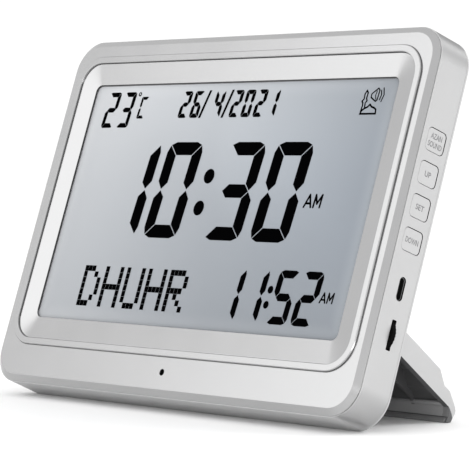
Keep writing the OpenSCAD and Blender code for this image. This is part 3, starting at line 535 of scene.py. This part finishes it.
def pen_line(bm, points, width):
    """A drawn line of even width with round ends and corners."""
    for (x0, z0), (x1, z1) in zip(points, points[1:]):
        run = math.hypot(x1 - x0, z1 - z0)
        made = bmesh.ops.create_grid(bm, x_segments=1, y_segments=1, size=0.5)
        place = (Matrix.Translation(((x0 + x1) / 2, ink_depth, (z0 + z1) / 2))
                 @ Matrix.Rotation(-math.atan2(z1 - z0, x1 - x0), 4, "Y")
                 @ Matrix.Diagonal((run, 1, width, 1)) @ to_upright)
        bmesh.ops.transform(bm, matrix=place, verts=made["verts"])
    for x, z in points:
        dot(bm, x, z, width, width, sides=10)


am_strokes = ([(0, 0), (2.45, 5.3), (4.2, 0)], [(0.9, 1.6), (3.6, 1.6)],
              [(5.75, 0), (6.2, 5.3), (7.65, 1.5), (10, 5.3), (9.65, 0)])
am_wide, am_high, am_pen = 0.88, 0.94, 0.92
for name, low_x, low_z, size in (("time_am", 53.2, 80.15, 1.0),
                                 ("next_time_am", 73.95, 42.85, 0.76)):
    am = bmesh.new()
    for stroke in am_strokes:
        pen_line(am, [(low_x + x * size * am_wide, low_z + z * size * am_high) for x, z in stroke],
                 size * am_pen)
    print_on_film(am, name + "_letters")

# A tower and dome with a loudhorn and two sound waves: the prayer call is switched on.
call_sign = bmesh.new()
dome = [(70.9, 117.9), (79.0, 117.9), (78.7, 119.6), (77.6, 120.3), (76.2, 120.7), (75.1, 121.7),
        (74.2, 120.7), (72.7, 120.1), (71.5, 119.3), (70.9, 117.9)]
tower = [(71.0, 118.9), (71.3, 121.4), (71.1, 122.4), (70.5, 123.0), (71.3, 123.9), (71.2, 126.0),
         (71.9, 127.4), (72.7, 126.4), (72.5, 124.2), (73.1, 123.1), (72.4, 122.4), (72.6, 120.3)]
horn = [(74.8, 126.0), (77.7, 128.2), (78.5, 127.4), (78.2, 123.4), (77.5, 122.9), (74.8, 124.5),
        (74.8, 126.0)]
mouth = [(77.2, 127.1), (76.9, 125.3), (77.5, 123.7)]
near_wave = [(79.4, 127.3), (79.9, 125.5), (79.4, 123.5)]
far_wave = [(80.4, 128.2), (81.2, 125.5), (80.4, 122.8)]
for stroke, pen in ((dome, 0.74), (tower, 0.66), (horn, 0.58), (mouth, 0.45), (near_wave, 0.55),
                    (far_wave, 0.55)):
    pen_line(call_sign, stroke, pen)
print_on_film(call_sign, "call_sign", hair=0)

# ---- Behind the film ----
# Two glass plates hold the liquid crystal. A clear guide, lit by small lamps at its edge, and a
# white sheet light them from behind. A white frame clips the stack to the bezel with four screws.

def finish_solid(node, coat):
    """Gives a solid that keeps its own shape its finish."""
    solid = frame["nodes"][node].data
    solid.materials.clear()
    solid.materials.append(coat)


def clear_coat(name, colour, roughness, clearness):
    """A finish that lets light through."""
    m = finish_coat(name, colour, roughness, mottle=0.01, grain=0.01, rough_change=0.01)
    m.node_tree.nodes["Principled BSDF"].inputs["Transmission Weight"].default_value = clearness
    return m


cell_glass = clear_coat("cell_glass", (0.75, 0.82, 0.82), 0.05, 0.9)
for node in ("front_glass", "rear_glass"):
    finish_solid(node, cell_glass)
finish_solid("rear_polarizer", finish_coat("rear_film", (0.42, 0.45, 0.46), 0.3, mottle=0.02,
                                           grain=0.02))
finish_solid("light_guide", clear_coat("clear_acrylic", (0.9, 0.92, 0.93), 0.12, 0.8))
white_moulding = finish_coat("white_moulding", (0.82, 0.83, 0.82), 0.5, mottle=0.02, grain=0.1)
finish_solid("reflector_sheet", white_moulding)
finish_solid("display_frame", white_moulding)
lamp_resin = finish_coat("lamp_resin", (0.93, 0.82, 0.42), 0.2, mottle=0.05, coat=0.4)
finish_solid("backlight_leds", lamp_resin)
screw_steel = finish_coat("screw_steel", (0.60, 0.60, 0.62), 0.3, metallic=1, mottle=0.06,
                          mottle_scale=700, grain=0.2, grain_scale=9000)
finish_solid("display_screws", screw_steel)

# The contact strip under the glass is silicone in fine stripes, clear and carbon-filled by turns.
clear_stripe, black_stripe = (0.8, 0.5, 0.56), (0.05, 0.04, 0.045)
striped = finish_coat("striped_silicone", clear_stripe, 0.55, mottle=0.04, grain=0.1)
nt = striped.node_tree
bands = nt.nodes.new("ShaderNodeTexWave")
bands.inputs["Scale"].default_value = 900
band_colour = nt.nodes.new("ShaderNodeValToRGB")
band_colour.color_ramp.elements[0].color = (*black_stripe, 1)
band_colour.color_ramp.elements[1].color = (*clear_stripe, 1)
where = nt.nodes.new("ShaderNodeTexCoord")
nt.links.new(where.outputs["Object"], bands.inputs["Vector"])
nt.links.new(bands.outputs["Fac"], band_colour.inputs["Fac"])
nt.links.new(band_colour.outputs["Color"], nt.nodes["Principled BSDF"].inputs["Base Color"])
finish_solid("contact_strip", striped)

# ---- Side frame ----
# The deep wall round the case, moulded in silver-grey plastic and screwed to the back cover.
# Its right side is pierced for the buttons, the inlet and the volume wheel. The underside falls
# a little towards the back.

walls = bmesh.new()
rounded_skin(walls, [
    (-106, 106, 0, 152.5, 13.5, 2.08),
    (-106, 106, -1.07, 152.5, 13.5, 17.22),
    (-103.8, 103.8, 1.13, 150.3, 11.3, 17.22),
    (-103.8, 103.8, 2.2, 150.3, 11.3, 2.08),
    (-106, 106, 0, 152.5, 13.5, 2.08),
])
silver_moulding = finish_coat("silver_grey_moulding", (0.475, 0.475, 0.477), 0.36, metallic=0.25,
                              **fine_spray)

# The wall's rounded corners, above and below, gleam more than its flat sides.
half_case = 76.25
silver_wall = silver_moulding.copy()
silver_wall.name = "silver_wall"
nt = silver_wall.node_tree
shader = nt.nodes["Principled BSDF"]
shader.inputs["Specular Tint"].default_value = (0.4, 0.4, 0.4, 1)
where = nt.nodes.new("ShaderNodeTexCoord")
on_wall = place_on_case(nt, where, (0, 0, half_case), (1, 1, half_case / 1000))
corner = nt.nodes.new("ShaderNodeValToRGB")
sheens = ((0.0, 0.25), (0.825, 0.25), (0.875, 1), (0.99, 1), (1.0, 0.25))
for far, sheen in sheens[1:-1]:
    corner.color_ramp.elements.new(far)
for stop, (far, sheen) in zip(corner.color_ramp.elements, sheens):
    stop.position, stop.color = far, (sheen, sheen, sheen, 1)
nt.links.new(math_step(nt, "ABSOLUTE", on_wall["Z"]), corner.inputs["Fac"])
nt.links.new(corner.outputs["Color"], shader.inputs["Metallic"])

# The underside is less shiny: its own duller coat is painted light, showing it lighter against
# the shade beneath the case.
underside = finish_coat("pale_underside", (0.42, 0.42, 0.422), 0.5, **fine_spray)
walls.normal_update()
for wall in walls.faces:
    wall.material_index = 1 if wall.calc_center_median().z < 0.1 and wall.normal.z < -0.9 else 0
side_frame = set_down(walls, "side_frame_wall", silver_wall, "case", ["side_frame"], soft_edge=0.06)
side_frame.data.materials.append(underside)
openings = bmesh.new()
to_side = Matrix(((0, -1, 0, 0), (1, 0, 0, 0), (0, 0, 1, 0), (0, 0, 0, 1)))


def side_cutter(bm, low_y, high_y, low_z, high_z, radius):
    """A rounded block through the right wall."""
    before = set(bm.verts)
    rounded_block(bm, [(low_y, high_y, low_z, high_z, radius, depth) for depth in (-110, -100)],
                  steps=8)
    bmesh.ops.transform(bm, matrix=to_side, verts=[v for v in bm.verts if v not in before])


top_button, button_step = 109.3, 12.98
button_middles = [top_button - button_step * i for i in range(4)]
for middle in button_middles:
    side_cutter(openings, 4.54, 14.94, middle - 4.5, middle + 4.5, 1.9)
inlet_slot = (8.2, 11.6, 47.31, 56.49, 1.69)
wheel_slot = (9.25, 11.64, 28.6, 40.2, 0.4)
side_cutter(openings, *inlet_slot)
side_cutter(openings, *wheel_slot)
# Painted shade: the walls of the openings are coloured near black, for the shade in the gaps round
# the buttons, the inlet and the wheel.
painted_opening_shade = finish_coat("painted_opening_shade", (0.008, 0.008, 0.008), 0.7, grain=0.02, shine=0.1)
cut_away(side_frame, openings, coat=painted_opening_shade)

# ---- Buttons ----
# Four rounded caps, moulded and silver like the case, that lie just below the right wall's
# surface. A flange behind the wall keeps each one in, and grey print says what it does.

def lettering(words, height, width, weight):
    """Letters as a flat upright mesh, as tall and as wide as given, from their low left."""
    curve = bpy.data.curves.new("letters", "FONT")
    curve.body = words
    curve.offset = weight
    curve.resolution_u = 4
    obj = bpy.data.objects.new("letters", curve)
    bpy.context.scene.collection.objects.link(obj)
    state = bpy.context.evaluated_depsgraph_get()
    mesh = bpy.data.meshes.new_from_object(obj.evaluated_get(state))
    bpy.data.objects.remove(obj)
    bm = bmesh.new()
    bm.from_mesh(mesh)
    xs, ys = [v.co.x for v in bm.verts], [v.co.y for v in bm.verts]
    stretch = Matrix.Diagonal((width / (max(xs) - min(xs)), height / (max(ys) - min(ys)), 1, 1))
    fit = to_upright @ stretch @ Matrix.Translation((-min(xs), -min(ys), 0))
    bmesh.ops.transform(bm, matrix=fit, verts=bm.verts)
    return bm


grey_print = finish_coat("grey_print", (0.18, 0.18, 0.185), 0.6, mottle=0.04, grain=0.02)
legends = (("AZAN", "SOUND"), ("UP",), ("SET",), ("DOWN",))
legend_widths = {"AZAN": 6.3, "SOUND": 7.8, "UP": 3.4, "SET": 4.6, "DOWN": 7.2}
cap_front, cap_middle, cap_back, cap_half, cap_radius = 4.74, 9.74, 14.74, 4.3, 1.7
flange, flange_back, flange_face, cap_face = 0.7, 102.9, 103.65, 105.86
letter_height, line_step, print_face, print_thick = 2.15, 3.2, 105.885, 0.03
for number, (middle, lines) in enumerate(zip(button_middles, legends), 1):
    key = bmesh.new()
    profile = ((flange, flange_back), (flange, flange_face), (0, flange_face), (0, cap_face))
    rounded_block(key, [(cap_front - d, cap_back + d, middle - cap_half - d,
                         middle + cap_half + d, cap_radius + d, -x) for d, x in profile], steps=8)
    bmesh.ops.transform(key, matrix=to_side, verts=key.verts)
    name = "button_%d" % number
    key_cap = set_down(key, name + "_cap", silver_moulding, name, [name], soft_edge=0.14)
    for row, line in enumerate(lines):
        wide = legend_widths[line]
        print_bm = lettering(line, letter_height, wide, weight=0.012)
        low = middle - 1.1 + line_step * ((len(lines) - 1) / 2 - row)
        low_left = (cap_middle - wide / 2, -print_face, low)
        bmesh.ops.translate(print_bm, vec=low_left, verts=print_bm.verts)
        thicken(print_bm, list(print_bm.faces), (0, print_thick, 0))
        bmesh.ops.transform(print_bm, matrix=to_side, verts=print_bm.verts)
        set_down(print_bm, "%s_print_%d" % (name, row + 1), grey_print, name)

# Behind the caps are black rubber plungers, four switches on a small board, and the ribbon cable
# that joins it to the main board.
plunger_rubber = finish_coat("plunger_rubber", (0.045, 0.045, 0.048), 0.7, mottle=0.08, grain=0.15)
for number in range(1, 5):
    finish_solid("plunger_%d" % number, plunger_rubber)
black_resin = finish_coat("black_resin", (0.02, 0.02, 0.021), 0.5, mottle=0.1, grain=0.1)
finish_solid("key_switches", black_resin)
finish_solid("key_cable", finish_coat("white_ribbon", (0.8, 0.8, 0.74), 0.45, mottle=0.03,
                                      mottle_scale=900))

# ---- Main board ----
# A green circuit board, screwed to bosses of the back cover. It carries the controller, the sound
# chip and amplifier, a crystal can, capacitors, a coin cell in a brass clip, and the light and
# warmth sensors.

# The solder mask is glossy, and the copper tracks under it show as lighter lines.
mask_green = (0.035, 0.20, 0.09)
solder_mask = finish_coat("green_solder_mask", mask_green, 0.25, mottle=0.06, coat=0.3)
nt = solder_mask.node_tree
tracks = nt.nodes.new("ShaderNodeTexBrick")
tracks.inputs["Scale"].default_value = 260
tracks.inputs["Mortar Size"].default_value = 0.09
tracks.inputs["Color1"].default_value = (*mask_green, 1)
tracks.inputs["Color2"].default_value = (0.03, 0.17, 0.08, 1)
tracks.inputs["Mortar"].default_value = (0.08, 0.33, 0.15, 1)
turned = nt.nodes.new("ShaderNodeMapping")
turned.inputs["Rotation"].default_value = (math.radians(90) + lean, 0, 0)
where = nt.nodes.new("ShaderNodeTexCoord")
nt.links.new(where.outputs["Object"], turned.inputs["Vector"])
nt.links.new(turned.outputs["Vector"], tracks.inputs["Vector"])
nt.links.new(tracks.outputs["Color"], nt.nodes["Principled BSDF"].inputs["Base Color"])
finish_solid("main_board", solder_mask)
finish_solid("key_board", solder_mask)
tin_plate = finish_coat("tin_plate", (0.62, 0.62, 0.63), 0.28, metallic=1, mottle=0.06, grain=0.08)
for node in ("controller_chip", "sound_chip", "amplifier_chip"):
    finish_solid(node, black_resin)
finish_solid("crystal", tin_plate)
finish_solid("capacitors", finish_coat("blue_sleeve", (0.05, 0.08, 0.24), 0.3, mottle=0.05,
                                       coat=0.3))
finish_solid("backup_cell", tin_plate)
brass = finish_coat("spring_brass", (0.72, 0.56, 0.28), 0.3, metallic=1, mottle=0.06, grain=0.1)
finish_solid("backup_cell_clip", brass)
finish_solid("light_sensor", lamp_resin)
finish_solid("temperature_sensor", finish_coat("dipped_brown", (0.22, 0.11, 0.06), 0.2, mottle=0.1,
                                               coat=0.5))
finish_solid("board_screws", screw_steel)

# ---- USB-C inlet ----
# A drawn steel shell with a black plastic tongue, soldered to the main board. It meets the wall in
# a slot of its own shape.

# Painted shade: the shell's steel is coloured dark, for the shade in its slot.
painted_shade_steel = finish_coat("drawn_shell_steel", (0.16, 0.16, 0.165), 0.3, metallic=1, mottle=0.05,
                        grain=0.03)
black_tongue_and_shade = finish_coat("black_tongue_and_shade", (0.004, 0.004, 0.004), 0.5, mottle=0.1, grain=0.1,
                          shine=0.08)
inlet_depth, inlet_height = 9.9, 51.9
profile = ((0, 98.3), (0, 105.4), (0.08, 105.5), (0.22, 105.5), (0.3, 105.4), (0.3, 99.1))
shell = bmesh.new()
rounded_block(shell, [(8.32 + d, 11.48 - d, 47.43 + d, 56.37 - d, 1.57 - d, -x)
                      for d, x in profile], steps=8)
bmesh.ops.transform(shell, matrix=to_side, verts=shell.verts)

# Painted shade: the shell's inside is coloured black, as shade falls deep in the inlet; the same
# black is the tongue's own plastic.
for wall in shell.faces:
    middle = wall.calc_center_median()
    past_end = max(0, abs(middle.z - inlet_height) - 2.9)
    inner = math.hypot(past_end, middle.y - inlet_depth) < 1.42
    wall.material_index = 1 if inner and middle.x < 105.3 else 0
usb_shell = set_down(shell, "usb_shell_drawn", painted_shade_steel, "case", ["usb_shell"])
usb_shell.data.materials.append(black_tongue_and_shade)
tongue = bmesh.new()
bmesh.ops.create_cube(tongue, size=1)
blade = Matrix.Diagonal((5.6, 0.7, 6.7, 1))
blade_place = Matrix.Translation((101.9, inlet_depth, inlet_height))
bmesh.ops.transform(tongue, matrix=blade_place @ blade, verts=tongue.verts)
usb_tongue = set_down(tongue, "usb_tongue_blade", black_tongue_and_shade, "case", ["usb_tongue"],
                      soft_edge=0.12)

# ---- Volume wheel ----
# A disc of black plastic, knurled round its edge, that shows through a slot in the wall. It turns
# on the volume control's post, where a steel clip keeps it.

knurled_black = finish_coat("moulded_black", (0.004, 0.004, 0.004), 0.5, mottle=0.1, grain=0.12,
                            shine=0.01)
wheel_across, wheel_height, wheel_front, wheel_thick = 99.82, 34.4, 9.47, 1.95
tooth_radius, groove_radius, teeth = 7.6, 7.45, 36
wheel = bmesh.new()
made = bmesh.ops.create_circle(wheel, cap_ends=True, segments=4 * teeth, radius=tooth_radius)
for number, v in enumerate(sorted(made["verts"], key=lambda v: math.atan2(v.co.y, v.co.x))):
    if number % 4 in (0, 1):
        v.co *= groove_radius / tooth_radius
wheel_place = Matrix.Translation((wheel_across, wheel_front, wheel_height)) @ to_upright
bmesh.ops.transform(wheel, matrix=wheel_place, verts=wheel.verts)
thicken(wheel, list(wheel.faces), (0, wheel_thick, 0))
volume_wheel = set_down(wheel, "volume_wheel_disc", knurled_black, "volume_wheel",
                        ["volume_wheel"], soft_edge=0.1, steps=2)
bore = bmesh.new()
round_rod(bore, wheel_across, wheel_height, 8, 13, 1.56)
cut_away(volume_wheel, bore)
finish_solid("volume_control", black_resin)
finish_solid("wheel_clip", screw_steel)

# ---- Sensor window ----
# A pin of smoked plastic, pressed into the hole low on the front cover. It lets light through to
# the sensor on the board.

smoked = finish_coat("smoked_pin", (0.002, 0.002, 0.002), 0.3, mottle=0.05, grain=0.01, shine=0)
pin = bmesh.new()
round_rod(pin, 0, sensor_height, 0.25, 5.5, 1.25)
sensor_window = set_down(pin, "sensor_window_pin", smoked, "case", ["sensor_window"],
                         soft_edge=0.15)

# ---- Battery tray ----
# A dark moulded tray for three cells, open to the back, with nickel-plated springs and contact
# plates in slots at its ends. The cells are steel cans in printed sleeves.

dark_moulding = finish_coat("dark_moulding", (0.07, 0.07, 0.075), 0.5, mottle=0.06, grain=0.12)
finish_solid("battery_tray", dark_moulding)
finish_solid("battery_cells", finish_coat("cell_sleeve", (0.06, 0.14, 0.34), 0.28, mottle=0.08,
                                          mottle_scale=90, coat=0.3))
nickel = finish_coat("nickel_plate", (0.68, 0.67, 0.64), 0.22, metallic=1, mottle=0.04, grain=0.05)
finish_solid("battery_springs", nickel)
finish_solid("battery_plates", nickel)

# ---- Loudspeaker ----
# A dark basket with a coated paper cone and a zinc-plated magnet, pressed against the grille's
# slots through a foam ring.

finish_solid("speaker_frame", dark_moulding)
finish_solid("speaker_magnet", finish_coat("zinc_plate", (0.5, 0.5, 0.52), 0.32, metallic=1,
                                           mottle=0.1))
finish_solid("speaker_cone", finish_coat("coated_paper", (0.03, 0.03, 0.03), 0.75, mottle=0.2,
                                         mottle_scale=1500, grain=0.5))
finish_solid("speaker_gasket", finish_coat("foam_ring", (0.04, 0.04, 0.04), 0.9, mottle=0.2,
                                           mottle_scale=2500, grain=0.8))

# ---- Back cover ----
# The silver moulding that closes the case: a flat back with a raised housing for the speaker and
# the cells, grille slots, vents, and lugs for the stand. Four screws hold it to the side frame.

solid_join = 2e-6


def joined_copy(node):
    """The solid's own shape with its faces joined, so that its edges can be softened."""
    bm = bmesh.new()
    bm.from_mesh(frame["nodes"][node].data)
    bmesh.ops.remove_doubles(bm, verts=bm.verts, dist=solid_join)
    bmesh.ops.dissolve_limit(bm, angle_limit=math.radians(1), verts=bm.verts, edges=bm.edges)
    return bm


def even_shading(piece):
    """Keeps the flat walls flat in the light, beside their rounded corners."""
    even = piece.modifiers.new("even shading", "WEIGHTED_NORMAL")
    even.weight = 100
    even.keep_sharp = True


def softened(node, coat, soft_edge):
    """A piece in the solid's own shape, with its moulded or turned edges softened."""
    body = frame["nodes"][node]["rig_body"]
    piece = set_down(joined_copy(node), node + "_soft", coat, body, [node], soft_edge=soft_edge,
                     place=Matrix.Identity(4), steps=2, join=solid_join)
    even_shading(piece)
    return piece


softened("back_cover", silver_moulding, 0.25)
softened("case_screws", screw_steel, 0.12)

# The battery door lifts straight off its housing, and its ribs give the thumb a hold.
softened("battery_door", silver_moulding, 0.2)

# ---- Stand ----
# The moulded fold-out stand: a plate between two side flanges, stiffened by ribs, with a web along
# the toe. It is silver outside only; its inner side is coloured dark grey as painted shade, and its
# toe a lighter grey as painted light.

pin_steel = finish_coat("ground_steel", (0.62, 0.62, 0.64), 0.2, metallic=1, mottle=0.03, grain=0.1)
# Painted shade and light: one grey plastic in two tones, dark on the stand's inner side and lighter
# on its toe.
painted_shade_plastic = finish_coat("grey_plastic_painted_shade", (0.08, 0.08, 0.082), 0.45, mottle=0.06, grain=0.1)
toe_painted_light_grey = finish_coat("toe_painted_light_grey", (0.19, 0.19, 0.192), 0.45, mottle=0.06, grain=0.1)

# The stand is drawn in its own plane, from the hinge line, and swung out from the case.
swing = math.radians(-18.6303)
stand_place = case_place @ Matrix.Translation(hinge_line) @ Matrix.Rotation(swing, 4, "X")
flange_inside, flange_outside, rib_foot, toe_inside = 97.5, 98.5, -4, 38.5
stand_bm = joined_copy("stand")
stand_bm.normal_update()
to_stand = stand_place.inverted()
turn = to_stand.to_3x3().normalized()
# Inner faces get the dark grey as painted shade; the toe's front faces the lighter grey as painted
# light.
for wall in stand_bm.faces:
    middle = to_stand @ wall.calc_center_median()
    out = turn @ wall.normal
    on_flange = abs(out.x) > 0.7 and abs(middle.x) > flange_outside
    painted = ((on_flange or out.z > 0.15 or out.y > 0.5)
               and (abs(middle.x) > flange_inside or middle.z > rib_foot))
    wall.material_index = 0 if painted else 1
    if middle.y > toe_inside and out.y < -0.5:
        wall.material_index = 2
stand = set_down(stand_bm, "stand_moulding", silver_moulding, "stand", ["stand"], soft_edge=0.25,
                 place=Matrix.Identity(4), join=solid_join)
stand.data.materials.append(painted_shade_plastic)
stand.data.materials.append(toe_painted_light_grey)
even_shading(stand)


def slab(bm, points, low_x, high_x):
    """A flat outline in the stand's side view, drawn out across the clock."""
    outline = bm.faces.new([bm.verts.new((low_x, y, z)) for y, z in points])
    thicken(bm, [outline], (high_x - low_x, 0, 0))


web = bmesh.new()
slab(web, [(38.3, -4.3), (38.45, -4.3), (40.25, -7.5), (41.6, -7.5), (41.6, -5.4), (39.2, -3.1),
           (38.3, -3.1)], -95.9, 95.9)
upper = web.faces.new([web.verts.new((x, y, -4.3)) for x, y in (
    (-95.9, 36.3), (-62, 38.3), (62, 38.3), (95.9, 36.3), (95.9, 39.2), (-95.9, 39.2))])
thicken(web, [upper], (0, 0, 1.2))
set_down(web, "stand_toe_web", toe_painted_light_grey, "stand", place=stand_place)

# The rubber strip along the toe, pressed into a groove, keeps the clock from sliding.
strip_rubber = finish_coat("strip_rubber", (0.18, 0.18, 0.182), 0.6, mottle=0.08, grain=0.15)
strip = bmesh.new()
tread = [(40.7, -7.56), (42.8, -7.56), (42.8, -8.56), (41.2, -9.93), (40.5, -9.93), (40.25, -9.7),
         (40.25, -8.4), (40.7, -8.2)]
end_cap = [(38.5, -4.4), (39.8, -4.8), (41.2, -5.5), (42.3, -6.35), (42.83, -7.0), (42.83, -8.5),
           (41.2, -9.93), (40.3, -9.85), (40.2, -7.5)]
slab(strip, tread, -97.9, 97.9)
for low_x, high_x in ((-98.95, -98.7), (98.7, 98.95)):
    slab(strip, end_cap, low_x, high_x)
# The strip's end caps, by the flanges, are coloured dark grey as painted shade.
for wall in strip.faces:
    wall.material_index = 1 if abs(wall.calc_center_median().x) > flange_outside else 0
stand_strip = set_down(strip, "stand_strip_rubber", strip_rubber, "stand", ["stand_strip"],
                       soft_edge=0.15, place=stand_place)
stand_strip.data.materials.append(painted_shade_plastic)

# Two ground steel pins, pressed into the case's lugs, carry the stand's heels.
softened("hinge_pins", pin_steel, 0.2)

# ---- Table and light ----
# A white table and background under one large soft light, front left and above, and four small
# ones that fill the right, the underside, the floor and the back edge.

table = bmesh.new()
bmesh.ops.create_grid(table, x_segments=1, y_segments=1, size=6)
white_table = finish_coat("white_table", (0.94, 0.94, 0.94), 0.8, mottle=0.0, grain=0.0)
floor = set_down(table, "table_top", white_table, None, place=Matrix.Identity(4))


def soft_light(name, place, aim, size, power, spread=180):
    """A flat soft box that faces its aim."""
    lamp = bpy.data.lights.new(name, "AREA")
    lamp.shape, lamp.size, lamp.size_y, lamp.energy = "RECTANGLE", size[0], size[1], power
    lamp.spread = math.radians(spread)
    obj = bpy.data.objects.new(name, lamp)
    bpy.context.scene.collection.objects.link(obj)
    obj.location = place
    obj.rotation_mode = "QUATERNION"
    obj.rotation_quaternion = (Vector(aim) - Vector(place)).to_track_quat("-Z", "Y")


soft_light("front_box", (-1.40, -2.30, 1.75), (0, 0, 0.07), (2.2, 3.6), 26)
soft_light("right_box", (1.0, 0.95, 0.13), (0, 0, 0.08), (0.6, 0.25), 0.2)
soft_light("low_box", (1.4, -0.88, 0.2), (0.08, 0.06, 0.01), (1.2, 0.36), 5.5)
soft_light("right_floor_box", (1.1, 1.0, 1.4), (0.4, 0.38, 0), (0.5, 0.5), 1.0, spread=50)
soft_light("back_strip", (0.1, 1.3, 0.78), (0, 0, 0.08), (0.5, 0.14), 0.4)
world = bpy.data.worlds.new("studio")
world.use_nodes = True
world.node_tree.nodes["Background"].inputs["Color"].default_value = (1, 1, 1, 1)
world.node_tree.nodes["Background"].inputs["Strength"].default_value = 1.08
scene = bpy.context.scene
scene.world = world
scene.view_settings.view_transform = "Standard"

# ---- Camera ----
# Just above the table, off the clock's right front, with a long lens.

lens = bpy.data.cameras.new("camera")
lens.lens, lens.sensor_width = 182.98, 36
lens.clip_start, lens.clip_end = 0.05, 50
camera = bpy.data.objects.new("camera", lens)
scene.collection.objects.link(camera)
front_foot = case_place @ Vector((0, 0, 0))
camera.location = front_foot + Vector((0.69988, -0.61946, 0.09745))
line_of_sight = Vector((-0.7258, 0.6870, -0.0364))
camera.rotation_mode = "QUATERNION"
camera.rotation_quaternion = line_of_sight.to_track_quat("-Z", "Y")
scene.camera = camera
